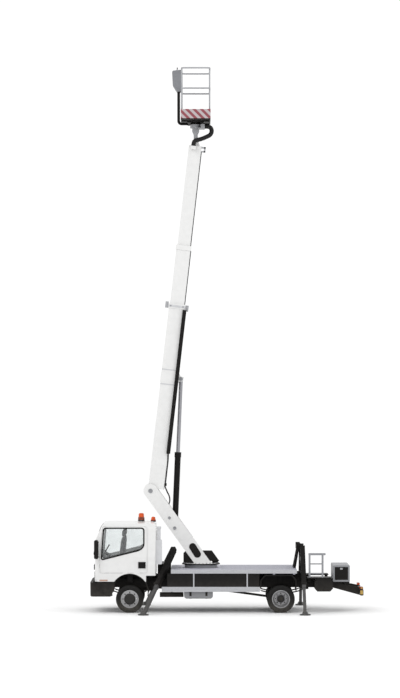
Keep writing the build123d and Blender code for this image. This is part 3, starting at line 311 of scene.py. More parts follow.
class Mould:
    """Collects simple solids into one mesh."""

    def __init__(self):
        self.verts = []
        self.faces = []

    def add(self, verts, faces):
        start = len(self.verts)
        self.verts += [tuple(v) for v in verts]
        self.faces += [[start + i for i in face] for face in faces]

    def box(self, low, high, turn=None, centre=None):
        """A box between two corners, which may be turned about a centre."""
        xs, ys, zs = zip(low, high)
        verts = [Vector((x, y, z)) for x in xs for y in ys for z in zs]
        if turn is not None:
            verts = [turn @ (v - centre) + centre for v in verts]
        self.add(verts, BOX_FACES)

    def side_box(self, side, low, high, from_x=0.0):
        """A box on one side of the truck: corners hold X from from_x, distance from the middle, Z."""
        y0, y1 = sorted((side * low[1], side * high[1]))
        self.box((from_x + low[0], y0, low[2]), (from_x + high[0], y1, high[2]))

    def rod(self, start, end, radius, end_radius=None, sides=20):
        """A straight round bar, which may taper."""
        self.tube([start, end], [radius, radius if end_radius is None else end_radius], sides)

    def tube(self, points, radius, sides=12):
        """A closed round bar along a path, with one radius or one for each point."""
        points = [Vector(p) for p in points]
        radii = radius if isinstance(radius, list) else [radius] * len(points)
        last = len(points) - 1
        directions = [(points[min(k + 1, last)] - points[max(k - 1, 0)]).normalized()
                      for k in range(last + 1)]
        faces = []
        for k in range(last):
            faces += ring_faces(k, k + 1, sides)
        faces.append(tuple(reversed(range(sides))))
        faces.append(tuple(last * sides + j for j in range(sides)))
        self.add(rings(points, directions, radii, sides), faces)

    def loop(self, points, radius, sides=8):
        """A round bar along a closed path."""
        points = [Vector(p) for p in points]
        count = len(points)
        directions = [(points[(k + 1) % count] - points[k - 1]).normalized() for k in range(count)]
        faces = []
        for k in range(count):
            faces += ring_faces(k, (k + 1) % count, sides)
        self.add(rings(points, directions, [radius] * count, sides), faces)

    def plate(self, outline, y0, y1):
        """A flat plate: an outline of X and Z places, from y0 to y1."""
        count = len(outline)
        verts = [(x, y, z) for y in (y0, y1) for x, z in outline]
        faces = [tuple(reversed(range(count))), tuple(range(count, 2 * count))]
        faces += [(k, (k + 1) % count, count + (k + 1) % count, count + k) for k in range(count)]
        self.add(verts, faces)

    def emit(self, name, mat, body=None, smooth=False):
        """Puts the mesh in the scene, on a body if one is named."""
        mesh = bpy.data.meshes.new(name)
        mesh.from_pydata(self.verts, [], self.faces)
        mesh.validate()
        mesh.update()
        if smooth:
            mesh.polygons.foreach_set("use_smooth", [True] * len(mesh.polygons))
        mesh.materials.append(mat)
        piece = bpy.data.objects.new(name, mesh)
        bpy.context.scene.collection.objects.link(piece)
        if body:
            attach(piece, body)
        return piece


def smooth_path(points, steps=8):
    """A rounded path through a short list of points."""
    points = [Vector(p) for p in points]
    ends = [points[0] * 2 - points[1]] + points + [points[-1] * 2 - points[-2]]
    path = []
    for k in range(1, len(ends) - 2):
        a, b, c, d = ends[k - 1:k + 3]
        for j in range(steps):
            t = j / steps
            path.append(0.5 * ((2 * b) + (c - a) * t + (2 * a - 5 * b + 4 * c - d) * t * t
                               + (3 * b - a - 3 * c + d) * t ** 3))
    return path + [points[-1]]


def round_corner(before, corner, after, radius, steps):
    """The places along a rounded corner."""
    start = corner + (before - corner).normalized() * radius
    end = corner + (after - corner).normalized() * radius
    shares = [j / steps for j in range(steps + 1)]
    return [start * (1 - t) ** 2 + corner * 2 * t * (1 - t) + end * t * t for t in shares]


def rounded_outline(points, radius, steps=6):
    """A closed outline of 2-D points with each corner rounded."""
    rounded = []
    count = len(points)
    for k in range(count):
        before, corner, after = (Vector(points[(k + j) % count]) for j in (-1, 0, 1))
        rounded += round_corner(before, corner, after, radius, steps)
    return rounded


def rounded_path(points, radii, steps=14):
    """An open path of straight runs with rounded corners."""
    path = [points[0]]
    for k in range(1, len(points) - 1):
        path += round_corner(points[k - 1], points[k], points[k + 1], radii[k - 1], steps)
    return path + [points[-1]]


def even_path(points, pitch):
    """The same path with a point each pitch along it."""
    path, left = [points[0]], pitch
    for a, b in zip(points, points[1:]):
        run = (b - a).length
        while left <= run:
            path.append(a + (b - a) * (left / run))
            left += pitch
        left -= run
    return path + [points[-1]]


# Wheels
# columns: body, tyre node, side, how far out each tyre stands
WHEELS = [
    ("front_left_wheel", "front_left_tyre", -1, [0.815]),
    ("front_right_wheel", "front_right_tyre", 1, [0.815]),
    ("rear_left_wheels", "rear_left_tyres", -1, [0.605, 0.830]),
    ("rear_right_wheels", "rear_right_tyres", 1, [0.605, 0.830]),
]
TYRE_R = 0.318
TYRE_HALF = 0.0975
TREAD_PITCHES = 56
# columns: distance from the tyre's middle, width
TREAD_ROWS = [(-0.052, 0.034), (0.0, 0.040), (0.052, 0.034)]
TREAD_BLOCK_HALF = 0.011
TREAD_SINK = 0.004
TREAD_RISE = 0.0015
WALL_RIB_R = 0.262
WALL_RIB_THICK = 0.004
WALL_RIB_OUT = 0.0005
WALL_RIB_STEPS = 48
# columns: distance from the truck's middle, radius
FRONT_CAP = [(0.850, 0.134), (0.904, 0.126), (0.918, 0.100)]
REAR_CAP = [(0.790, 0.086), (0.858, 0.080)]
NUTS = 6
NUT_CIRCLE_R = 0.105
NUT_SEAT_Y = 0.731
NUT_L = 0.022
NUT_R = 0.013


def tyre_tread(mould, centre, y):
    """Staggered tread blocks and a rib on each side wall of one tyre."""
    for angle in turns(TREAD_PITCHES):
        for row, (offset, width) in enumerate(TREAD_ROWS):
            spin = Matrix.Rotation(angle + (row % 2) * math.pi / TREAD_PITCHES, 3, "Y")
            start, end = y + offset - width / 2, y + offset + width / 2
            low = Vector((centre.x - TREAD_BLOCK_HALF, start, centre.z + TYRE_R - TREAD_SINK))
            high = Vector((centre.x + TREAD_BLOCK_HALF, end, centre.z + TYRE_R + TREAD_RISE))
            mould.box(low, high, spin, Vector((centre.x, y, centre.z)))
    for face in (-1, 1):
        wall = y + face * (TYRE_HALF + WALL_RIB_OUT)
        mould.loop([(centre.x + WALL_RIB_R * math.cos(a), wall, centre.z + WALL_RIB_R * math.sin(a))
                    for a in turns(WALL_RIB_STEPS)], WALL_RIB_THICK, 6)


def dress_wheel(body, node, side, stations):
    """Tread, hub cap and, on twin wheels, the wheel nuts."""
    centre = middle(node)
    tread, nuts, hub = Mould(), Mould(), Mould()
    for station in stations:
        tyre_tread(tread, centre, side * station)
    tread.emit(f"{node}_tread", TYRE, body)
    profile = FRONT_CAP
    if len(stations) == 2:
        profile = REAR_CAP
        for a in turns(NUTS):
            spot = centre + Vector((NUT_CIRCLE_R * math.cos(a), 0, NUT_CIRCLE_R * math.sin(a)))
            spot.y = side * NUT_SEAT_Y
            nuts.rod(spot, spot + Vector((0, side * NUT_L, 0)), NUT_R, sides=6)
        nuts.emit(f"{node}_nuts", CHROME, body)
    outs, radii = zip(*profile)
    hub.tube([(centre.x, side * out, centre.z) for out in outs], list(radii), 40)
    hub.emit(f"{node}_hub_cap", HUB_BLACK, body)


for row in WHEELS:
    dress_wheel(*row)


# Places on the cab's skin, found from outside it
OUTSIDE_Y = 3
AHEAD_X = -6
USUAL_SKIN_Y = 0.93
USUAL_SKIN_IN = 0.1


def skin_y(node, x, z, side):
    """The outer skin's Y at a place on a door or the cab's side."""
    hit, place = nodes[node].ray_cast(Vector((x, side * OUTSIDE_Y, z)), Vector((0, -side, 0)))[:2]
    return place.y if hit else side * USUAL_SKIN_Y


def skin_x(node, y, z):
    """The front skin's X at a place on the cab's face."""
    hit, place = nodes[node].ray_cast(Vector((AHEAD_X, y, z)), Vector((1, 0, 0)))[:2]
    return place.x if hit else cad_low.x + USUAL_SKIN_IN


# Doors: X from the front axle, then Z, or with the distance from the middle between them
WINDOW = [(-0.655, 1.224), (0.236, 1.450), (0.325, 1.536), (0.325, 1.953), (-0.603, 1.953)]
WINDOW_CORNER_R = 0.06
WINDOW_SEAL_R = 0.017
HANDLE_CUP = ((0.198, 0.90, 1.030), (0.367, 0.944, 1.176))
HANDLE_LEVER = ((0.21, 0.93, 1.115), (0.355, 0.954, 1.150))
INNER_TRIM = [(-0.60, 1.02), (0.27, 1.02), (0.27, 1.405), (0.20, 1.385), (-0.60, 1.185)]
INNER_TRIM_MEETS_Z = 1.1
INNER_TRIM_THICK = 0.010
INNER_TRIM_SINK = 0.002
ARMREST_X = (-0.35, 0.12)
ARMREST_Z = (1.13, 1.17)
ARMREST_REACH = (0.045, 0.008)


def door_trim(word, side):
    """Window seal, handle and inner trim of one door."""
    door = f"{word}_door"
    seal, cup, lever, trim = Mould(), Mould(), Mould(), Mould()
    points = []
    for x, z in rounded_outline(WINDOW, WINDOW_CORNER_R):
        points.append((FRONT_AXLE_X + x, skin_y(door, FRONT_AXLE_X + x, z, side), z))
    seal.loop(points, WINDOW_SEAL_R, 10)
    seal.emit(f"{door}_window_seal", BLACK_PLASTIC, door, smooth=True)
    cup.side_box(side, *HANDLE_CUP, FRONT_AXLE_X)
    cup.emit(f"{door}_handle_cup", BLACK_PLASTIC, door)
    lever.side_box(side, *HANDLE_LEVER, FRONT_AXLE_X)
    lever.emit(f"{door}_handle_lever", BLACK_STEEL, door)
    from_inside = Vector((FRONT_AXLE_X, 0, INNER_TRIM_MEETS_Z))
    inner = nodes[door].ray_cast(from_inside, Vector((0, side, 0)))[1].y
    outline = [(FRONT_AXLE_X + x, z) for x, z in INNER_TRIM]
    trim.plate(outline, inner - side * INNER_TRIM_THICK, inner + side * INNER_TRIM_SINK)
    y0, y1 = sorted(inner - side * reach for reach in ARMREST_REACH)
    trim.box((FRONT_AXLE_X + ARMREST_X[0], y0, ARMREST_Z[0]),
             (FRONT_AXLE_X + ARMREST_X[1], y1, ARMREST_Z[1]))
    trim.emit(f"{door}_inner_trim", BLACK_PLASTIC, door)


for word, side in (("left", -1), ("right", 1)):
    door_trim(word, side)


# Cab front: Y and Z, with X found on the skin
WINDSCREEN = [(-0.81, 1.375), (0.81, 1.375), (0.765, 1.995), (-0.765, 1.995)]
WINDSCREEN_CORNER_R = 0.09
WINDSCREEN_SEAL_R = 0.011
WIPER_FEET_Y = (-0.62, 0.02)
WIPER_FOOT_Z = 1.33
WIPER_FOOT_OUT = 0.012
WIPER_FOOT_IN = 0.03
WIPER_FOOT_R = 0.018
# columns: Y from the foot, Z
WIPER_ARM_END, WIPER_TIP = (0.25, 1.46), (0.50, 1.62)
WIPER_OUT = 0.016
WIPER_ARM_R = 0.009
WIPER_BLADE_R = 0.008
WIPER_BLADE_BACK = 0.75


def windscreen_trim():
    """The windscreen's seal and two wipers."""
    seal, wipers = Mould(), Mould()
    outline = rounded_outline(WINDSCREEN, WINDSCREEN_CORNER_R)
    seal.loop([(skin_x("cab_shell", y, z), y, z) for y, z in outline], WINDSCREEN_SEAL_R, 10)
    seal.emit("windscreen_seal", BLACK_PLASTIC, "chassis", smooth=True)
    for foot_y in WIPER_FEET_Y:
        foot = Vector((skin_x("cab_shell", foot_y, WIPER_FOOT_Z) - WIPER_FOOT_OUT, foot_y, WIPER_FOOT_Z))
        arm_end, tip = (Vector((skin_x("cab_glass", foot_y + y, z) - WIPER_OUT, foot_y + y, z))
                        for y, z in (WIPER_ARM_END, WIPER_TIP))
        wipers.rod(foot, arm_end, WIPER_ARM_R, sides=8)
        wipers.rod(arm_end + (arm_end - tip) * WIPER_BLADE_BACK, tip, WIPER_BLADE_R, sides=8)
        wipers.rod(foot + Vector((WIPER_FOOT_IN, 0, 0)), foot - Vector((WIPER_FOOT_OUT, 0, 0)),
                   WIPER_FOOT_R, sides=14)
    wipers.emit("wipers", BLACK_STEEL, "chassis")


windscreen_trim()

# columns: piece, finish, distances from the middle, heights, where the skin is met, how far out and in
FRONT_LAMPS = [
    ("headlamp_lenses", CLEAR_LENS, (0.50, 0.70), (0.805, 0.925), 0.60, 0.006, 0.05),
    ("headlamp_bezels", BLACK_PLASTIC, (0.485, 0.715), (0.790, 0.940), 0.60, 0.002, 0.06),
    ("front_indicators", REFLECTOR, (0.40, 0.47), (0.805, 0.925), 0.44, 0.006, 0.05),
]
LAMPS_MEET_Z = 0.86
MARKER_X = (-0.695, -0.51)
MARKER_Z = (0.735, 0.768)
MARKER_MEETS = (-0.60, 0.755)
MARKER_IN = 0.004
MARKER_OUT = 0.006
SLATS_Z = (0.99, 1.03, 1.07)
SLAT_HALF_W = 0.52
SLAT_HALF_H = 0.012
SLAT_OUT = 0.004
SLAT_IN = 0.045


def front_lamps():
    """Lamps, side markers and grille of the cab's front."""
    for name, mat, ys, zs, meets_y, out, deep in FRONT_LAMPS:
        lamp = Mould()
        for side in SIDES:
            x = skin_x("cab_shell", side * meets_y, LAMPS_MEET_Z)
            lamp.side_box(side, (x - out, ys[0], zs[0]), (x + deep, ys[1], zs[1]))
        lamp.emit(name, mat, "chassis")
    marker, grille = Mould(), Mould()
    for side in SIDES:
        y = skin_y("cab_shell", FRONT_AXLE_X + MARKER_MEETS[0], MARKER_MEETS[1], side)
        y0, y1 = sorted((y - side * MARKER_IN, y + side * MARKER_OUT))
        marker.box((FRONT_AXLE_X + MARKER_X[0], y0, MARKER_Z[0]),
                   (FRONT_AXLE_X + MARKER_X[1], y1, MARKER_Z[1]))
    marker.emit("side_markers", MARKER, "chassis")
    for z in SLATS_Z:
        x = skin_x("cab_shell", 0.0, z)
        grille.box((x - SLAT_OUT, -SLAT_HALF_W, z - SLAT_HALF_H),
                   (x + SLAT_IN, SLAT_HALF_W, z + SLAT_HALF_H))
    grille.emit("grille_slats", BLACK_PLASTIC, "chassis")


front_lamps()

# X from the mirrors' rear faces, distance from the middle, Z
MIRROR_GLASS = ((-0.001, 0.975, 1.31), (0.002, 1.11, 1.63))
ROOF_Z = 2.066
# columns: X from the front axle, radius, height
BEACON_BASES = [(0.250, 0.079, 0.100), (0.530, 0.063, 0.044)]
BEACON_BASE_TAPER = 0.94


def mirror_faces():
    """The silvered faces of both mirrors."""
    face = Mould()
    for side in SIDES:
        face.side_box(side, *MIRROR_GLASS, corners("mirrors")[1].x)
    face.emit("mirror_faces", MIRROR_FACE, "chassis")


def beacon_bases():
    """The dark feet under the orange domes."""
    base = Mould()
    for x, radius, height in BEACON_BASES:
        foot = Vector((FRONT_AXLE_X + x, 0, ROOF_Z))
        base.rod(foot, foot + Vector((0, 0, height)), radius, radius * BEACON_BASE_TAPER, 32)
    base.emit("beacon_bases", BEACON_BASE, "chassis")


mirror_faces()
beacon_bases()

# Deck
DECK_EDGE_Z = (0.918, 1.001)
DECK_EDGE_SINK = 0.004
DECK_EDGE_OUT = 0.003
DECK_EDGE_END = 0.001
DECK_RIBS_Z = (0.940, 0.962, 0.984)
DECK_RIB_OUT = (0.002, 0.006)
DECK_RIB_HALF = 0.004
DECK_PLANKS = 12
SEAM_HALF = 0.003
SEAM_SINK = 0.002
SEAM_RISE = 0.0012
SEAM_MARGIN = 0.03
RING_CLEAR = 0.46


def deck_trim():
    """The deck's ribbed aluminium edge and the seams of its planks."""
    low, high = corners("deck")
    edge, seams = Mould(), Mould()
    z0, z1 = DECK_EDGE_Z
    for side in SIDES:
        edge.side_box(side, (low.x - DECK_EDGE_END, high.y - DECK_EDGE_SINK, z0),
                      (high.x + DECK_EDGE_END, high.y + DECK_EDGE_OUT, z1))
        for z in DECK_RIBS_Z:
            edge.side_box(side, (low.x, high.y + DECK_RIB_OUT[0], z - DECK_RIB_HALF),
                          (high.x, high.y + DECK_RIB_OUT[1], z + DECK_RIB_HALF))
    for x in (high.x, low.x):
        edge.box((x - DECK_EDGE_OUT, low.y, z0), (x + DECK_EDGE_OUT, high.y, z1))
    edge.emit("deck_edge", ALUMINIUM, "chassis")
    runs = ((low.x + SEAM_MARGIN, SLEW_X - RING_CLEAR), (SLEW_X + RING_CLEAR, high.x - SEAM_MARGIN))
    for k in range(1, DECK_PLANKS):
        y = low.y + k * (high.y - low.y) / DECK_PLANKS
        for x0, x1 in runs:
            seams.box((x0, y - SEAM_HALF, high.z - SEAM_SINK), (x1, y + SEAM_HALF, high.z + SEAM_RISE))
    seams.emit("deck_plank_seams", BLACK_STEEL, "chassis")


deck_trim()

# Skirts and fuel tank
CLIPS_X = (1.0, 1.9, 2.25, 2.9)
CLIP_HALF = 0.03
CLIP_OUT = (0.990, 0.999)
CLIP_Z = (0.86, 0.885)
RAIL_RIBS_Z = (0.52, 0.55, 0.58)
RAIL_RIB_OUT = (0.998, 1.004)
RAIL_RIB_HALF = 0.005
RAIL_RIB_END = 0.002
TANK_STRAP_IN = 0.15
TANK_STRAP_HALF = 0.025
TANK_STRAP_BELOW_Y = (-0.932, -0.40)
TANK_STRAP_BELOW_Z = (-0.002, 0.004)
TANK_STRAP_FRONT_Y = (-0.934, -0.928)
TANK_STRAP_END = 0.06


def skirt_trim():
    """Clips on the skirt panels and ribs on their rails."""
    clips, ribs = Mould(), Mould()
    low, high = corners("skirt_rails")
    for side in SIDES:
        for x in CLIPS_X:
            middle_x = FRONT_AXLE_X + x
            clips.side_box(side, (middle_x - CLIP_HALF, CLIP_OUT[0], CLIP_Z[0]),
                           (middle_x + CLIP_HALF, CLIP_OUT[1], CLIP_Z[1]))
        for z in RAIL_RIBS_Z:
            ribs.side_box(side, (low.x + RAIL_RIB_END, RAIL_RIB_OUT[0], z - RAIL_RIB_HALF),
                          (high.x - RAIL_RIB_END, RAIL_RIB_OUT[1], z + RAIL_RIB_HALF))
    clips.emit("skirt_clips", BLACK_STEEL, "chassis")
    ribs.emit("skirt_rail_ribs", ALUMINIUM, "chassis")


def tank_trim():
    """Two straps below and in front of the fuel tank."""
    straps = Mould()
    low, high = corners("fuel_tank")
    for x in (low.x + TANK_STRAP_IN, high.x - TANK_STRAP_IN):
        x0, x1 = x - TANK_STRAP_HALF, x + TANK_STRAP_HALF
        straps.box((x0, TANK_STRAP_BELOW_Y[0], low.z + TANK_STRAP_BELOW_Z[0]),
                   (x1, TANK_STRAP_BELOW_Y[1], low.z + TANK_STRAP_BELOW_Z[1]))
        straps.box((x0, TANK_STRAP_FRONT_Y[0], low.z + TANK_STRAP_END),
                   (x1, TANK_STRAP_FRONT_Y[1], high.z - TANK_STRAP_END))
    straps.emit("fuel_tank_straps", BLACK_STEEL, "chassis")


skirt_trim()
tank_trim()

# Tail: X from the tail frame's end, distance from the middle, Z
TAIL_INDICATOR = ((-0.075, 0.56, 0.548), (-0.010, 0.63, 0.598))
TAIL_SIDE_MARKS = [
    ((-0.062, 0.879, 0.556), (-0.018, 0.883, 0.590)),
    ((-0.075, 0.897, 0.43), (-0.012, 0.906, 0.52)),
]
BACK_MARKS = 4
BACK_MARK_FIRST_Y = 0.16
BACK_MARK_PITCH = 0.2
BACK_MARK_HALF = 0.05
BACK_MARK_X = (-0.004, 0.003)
BACK_MARK_Z = (0.455, 0.495)
LOCKER_PANEL_OUT = (0.544, 0.552)
LOCKER_PANEL_MARGIN = 0.035
LATCH_OUT = (0.548, 0.560)
LATCH_HALF = 0.03
LATCH_DROP = (0.10, 0.06)


def tail_lights():
    """Reflectors and indicators on the tail frame."""
    end_x = corners("tail_frame")[1].x
    marks, lens = Mould(), Mould()
    for side in SIDES:
        lens.side_box(side, *TAIL_INDICATOR, end_x)
        for mark in TAIL_SIDE_MARKS:
            marks.side_box(side, *mark, end_x)
        for k in range(BACK_MARKS):
            y = side * (BACK_MARK_FIRST_Y + BACK_MARK_PITCH * k)
            marks.box((end_x + BACK_MARK_X[0], y - BACK_MARK_HALF, BACK_MARK_Z[0]),
                      (end_x + BACK_MARK_X[1], y + BACK_MARK_HALF, BACK_MARK_Z[1]))
    marks.emit("tail_reflectors", REFLECTOR, "chassis")
    lens.emit("tail_indicators", AMBER, "chassis")


def locker_trim():
    """Side panels and latches of the rear locker."""
    low, high = corners("rear_locker")
    panel, latch = Mould(), Mould()
    margin = LOCKER_PANEL_MARGIN
    middle_x = (low.x + high.x) / 2
    for side in SIDES:
        panel.side_box(side, (low.x + margin, LOCKER_PANEL_OUT[0], low.z + margin),
                       (high.x - margin, LOCKER_PANEL_OUT[1], high.z - margin))
        latch.side_box(side, (middle_x - LATCH_HALF, LATCH_OUT[0], high.z - LATCH_DROP[0]),
                       (middle_x + LATCH_HALF, LATCH_OUT[1], high.z - LATCH_DROP[1]))
    panel.emit("locker_panels", BLACK_PLASTIC, "chassis")
    latch.emit("locker_latches", LIGHT_STEEL, "chassis")


tail_lights()
locker_trim()

# Turret
RING_BOLTS = 30
RING_BOLT_CIRCLE_R = 0.41
RING_BOLT_Z = 1.1045
RING_BOLT_L = 0.016
RING_BOLT_R = 0.012
FOOT_BAND_Z = (1.076, 1.1035)
FOOT_BAND_R = 0.443
FORK_BOLT = Vector((FRONT_AXLE_X + 0.909, 0, 2.164))
# columns: place, radius, distance of the head from the middle
TURRET_PINS = [(PIVOT, 0.055, 0.219), (LIFT_PIN, 0.042, 0.219), (FORK_BOLT, 0.036, 0.214)]
PIN_START_Y = 0.205
PIN_TAPER = 0.9


def turret_foot():
    """The bolts and the dark band round the turret's foot."""
    bolts, band = Mould(), Mould()
    for a in turns(RING_BOLTS):
        spot = Vector((SLEW_X + RING_BOLT_CIRCLE_R * math.cos(a), RING_BOLT_CIRCLE_R * math.sin(a),
                       RING_BOLT_Z))
        bolts.rod(spot, spot + Vector((0, 0, RING_BOLT_L)), RING_BOLT_R, sides=6)
    bolts.emit("slew_bolts", CHROME, "turret")
    band.rod((SLEW_X, 0, FOOT_BAND_Z[0]), (SLEW_X, 0, FOOT_BAND_Z[1]), FOOT_BAND_R, sides=64)
    band.emit("turret_foot_band", BLACK_STEEL, "turret")


def turret_pins():
    """Pin heads on the outside of the turret's fork."""
    heads = Mould()
    for side in SIDES:
        for place, radius, reach in TURRET_PINS:
            start = place + Vector((0, side * PIN_START_Y, 0))
            heads.rod(start, place + Vector((0, side * reach, 0)), radius, radius * PIN_TAPER, 28)
    heads.emit("turret_pin_heads", GREY_STEEL, "turret")


turret_foot()
turret_pins()

# Boom: u along it from the pivot, v across it to the rear
REAR_FACE_V = 0.310
BASE_HALF_Y = 0.150
COLLAR_U = 4.345
COLLAR_HALF_Y = 0.166
COLLAR_LUG_HALF_Y = 0.11
# columns: low and high u from the collar, low and high v
COLLAR_LUGS = [(-0.055, 0.090, -0.150, -0.076), (-0.095, 0.045, 0.326, 0.398)]
COLLAR_STRAP = (-0.026, 0.022, -0.076, 0.326)
STRAP_THICK = 0.006
STRAP_U = (2.500, 2.842)
STRAP_WIDE = 0.024
STRAP_V = (-0.058, 0.262)
PAD_SCREWS_V = (-0.02, 0.27)
PAD_SCREW_R = 0.018
PAD_SCREW_SINK = 0.002
PAD_SCREW_OUT = 0.012
EYE_PIN_Y = 0.089
EYE_PIN_R = 0.042
EYE_PIN_SINK = 0.016
EYE_PIN_OUT = 0.008
CHAIN_ENDS_U = (0.907, 4.275)
CHAIN_LINKS = 48
CHAIN_LINK_HALF = 0.024
CHAIN_LINK_R = 0.009
CHAIN_ROWS_V = (0.288, 0.338)
CHAIN_FACE_Y = -0.2105
FOOT_HOSES_Y = (-0.132, -0.100, -0.068)
FOOT_HOSE_R = 0.015
FOOT_HOSE_V = REAR_FACE_V + FOOT_HOSE_R + 0.001
FOOT_HOSE_U = (0.12, 0.35, 0.58, 0.74)
HOSES_ENTER_CHAIN_Y = -0.196
HOSES_ENTER_CHAIN_PITCH = 0.016
HOSES_ENTER_CHAIN_DEEP = 0.010
FOOT_CLAMP_U = (0.150, 0.215)
FOOT_CLAMP_V = (REAR_FACE_V - 0.002, REAR_FACE_V + 0.048)
FOOT_CLAMP_Y = (-0.149, -0.048)


def boom_bar(mould, u0, u1, v0, v1, y0, y1):
    """A bar laid out in the boom's own directions."""
    turn = Matrix.Rotation(BOOM_TILT, 3, "Y")
    verts = [PIVOT + turn @ Vector((v, y, u)) for v in (v0, v1) for y in (y0, y1) for u in (u0, u1)]
    mould.add(verts, BOX_FACES)


def boom_fittings():
    """Screws and lugs of the collar, heads of the rod eye's pin, and straps."""
    screws, pins, lugs, straps = Mould(), Mould(), Mould(), Mould()
    for side in SIDES:
        out = Vector((0, side, 0))
        for v in PAD_SCREWS_V:
            place = on_boom(COLLAR_U, v, side * COLLAR_HALF_Y)
            screws.rod(place - out * PAD_SCREW_SINK, place + out * PAD_SCREW_OUT, PAD_SCREW_R, sides=6)
        eye = on_boom(*ROD_EYE_UV, side * EYE_PIN_Y)
        pins.rod(eye - out * EYE_PIN_SINK, eye + out * EYE_PIN_OUT, EYE_PIN_R, sides=28)
        y0, y1 = sorted((side * BASE_HALF_Y, side * (BASE_HALF_Y + STRAP_THICK)))
        for u in STRAP_U:
            boom_bar(straps, u, u + STRAP_WIDE, *STRAP_V, y0, y1)
        y0, y1 = sorted((side * COLLAR_HALF_Y, side * (COLLAR_HALF_Y + STRAP_THICK)))
        u0, u1, v0, v1 = COLLAR_STRAP
        boom_bar(straps, COLLAR_U + u0, COLLAR_U + u1, v0, v1, y0, y1)
    for u0, u1, v0, v1 in COLLAR_LUGS:
        boom_bar(lugs, COLLAR_U + u0, COLLAR_U + u1, v0, v1, -COLLAR_LUG_HALF_Y, COLLAR_LUG_HALF_Y)
    screws.emit("boom_pad_screws", CHROME, "boom")
    pins.emit("rod_eye_pin_heads", GREY_STEEL, "boom")
    lugs.emit("boom_collar_lugs", LIGHT_STEEL, "boom")
    straps.emit("boom_straps", PALE_STEEL, "boom")


def boom_hoses():
    """Three hoses from the boom's foot into the energy chain, with their clamp."""
    hose, clamp = Mould(), Mould()
    for k, y in enumerate(FOOT_HOSES_Y):
        run = [on_boom(u, FOOT_HOSE_V, y) for u in FOOT_HOSE_U]
        run.append(on_boom(CHAIN_ENDS_U[0] + HOSES_ENTER_CHAIN_DEEP, FOOT_HOSE_V - HOSES_ENTER_CHAIN_DEEP,
                           HOSES_ENTER_CHAIN_Y + HOSES_ENTER_CHAIN_PITCH * k))
        hose.tube(smooth_path(run), FOOT_HOSE_R, 10)
    hose.emit("boom_base_hoses", RUBBER, "boom", smooth=True)
    boom_bar(clamp, *FOOT_CLAMP_U, *FOOT_CLAMP_V, *FOOT_CLAMP_Y)
    clamp.emit("boom_foot_hose_clamp", BLACK_STEEL, "boom")


def chain_links():
    """Two rows of link plates along the energy chain."""
    chain = Mould()
    pitch = (CHAIN_ENDS_U[1] - CHAIN_ENDS_U[0]) / CHAIN_LINKS
    for k in range(CHAIN_LINKS):
        u = CHAIN_ENDS_U[0] + (k + 0.5) * pitch
        for v in CHAIN_ROWS_V:
            start = on_boom(u - CHAIN_LINK_HALF, v, CHAIN_FACE_Y)
            end = on_boom(u + CHAIN_LINK_HALF, v, CHAIN_FACE_Y)
            chain.rod(start, end, CHAIN_LINK_R, sides=8)
    chain.emit("chain_links", BLACK_PLASTIC, "boom")


boom_fittings()
boom_hoses()
chain_links()

# columns: lower body, upper body, ends along the boom, distance from the pivot's line, side places
# Painted shade: these dark rods stand for the shaded rear edge of the boom sections, drawn as cables.
SHADE_LINE_CABLES = [
    ("boom", "boom_middle", (4.402, 5.662), 0.3025, (-0.090, -0.055)),
    ("boom_middle", "boom_tip", (5.776, 7.990), 0.285, (-0.080, -0.045)),
]
SHADE_LINE_CABLE_R = 0.009
# columns: low and high u, low and high v
HEAD_BRACKET = [(8.075, 8.112, 0.245, 0.375), (7.985, 8.112, 0.335, 0.375), (7.985, 8.015, 0.245, 0.375)]
HEAD_BRACKET_Y = (-0.085, -0.025)


def shade_line_cables():
    """Cables that a reel keeps straight between two sections; their dark rods along the rear face are also
    painted shade for the sections' shaded rear edge.
    """
    for lower, upper, ends, v, sides in SHADE_LINE_CABLES:
        shade_line_cable = Mould()
        for y in sides:
            shade_line_cable.rod(on_boom(ends[0], v, y), on_boom(ends[1], v, y), SHADE_LINE_CABLE_R, sides=10)
        # dark rubber rods: cables and painted shade of the sections' rear edge
        piece = shade_line_cable.emit(f"{upper}_cable", RUBBER, smooth=True)
        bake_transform(piece)


def head_bracket():
    """A small open bracket at the boom's head."""
    arm = Mould()
    for bar in HEAD_BRACKET:
        boom_bar(arm, *bar, *HEAD_BRACKET_Y)
    arm.emit("boom_head_bracket", LIGHT_STEEL, "boom_tip")


shade_line_cables()
head_bracket()

# Hoses that cross a joint
# columns: X from the front axle, Z
TURRET_HOSE_ROUTE = [(0.800, 2.330), (0.870, 2.440), (0.915, 2.545), (0.905, 2.660), (0.855, 2.770)]
TURRET_HOSE_END_U = 0.13
LEVEL = on_boom(8.212, BOOM_AXIS_V)
HOSE_Y = -0.178
HOSE_R = 0.054
HOSE_FOOT = on_boom(8.1003, BOOM_AXIS_V - 0.040)
HOSE_FOOT_RISE = 0.120
# columns: X and Z from the levelling pin
HOSE_ROUTE = [(0.2103, 0.345), (0.372, 0.345), (0.372, 0.160), (0.150, 0.060)]
HOSE_BEND_RADII = (0.108, 0.090, 0.075, 0.055)
RIDGE_STEP = 0.0085
RIDGE_DEPTH = 0.001
GROOVE_DEPTH = 0.008
STEPS_PER_GROOVE = 3


def turret_hoses():
    """A slack bundle that crosses from the turret to the boom's foot."""
    route = [Vector((FRONT_AXLE_X + x, 0, z)) for x, z in TURRET_HOSE_ROUTE]
    route += [on_boom(TURRET_HOSE_END_U, FOOT_HOSE_V)]
    bundle = Mould()
    for y in FOOT_HOSES_Y:
        bundle.tube([place + Vector((0, y, 0)) for place in smooth_path(route)], FOOT_HOSE_R, 10)
    piece = bundle.emit("turret_hoses", RUBBER, smooth=True)
    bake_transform(piece)


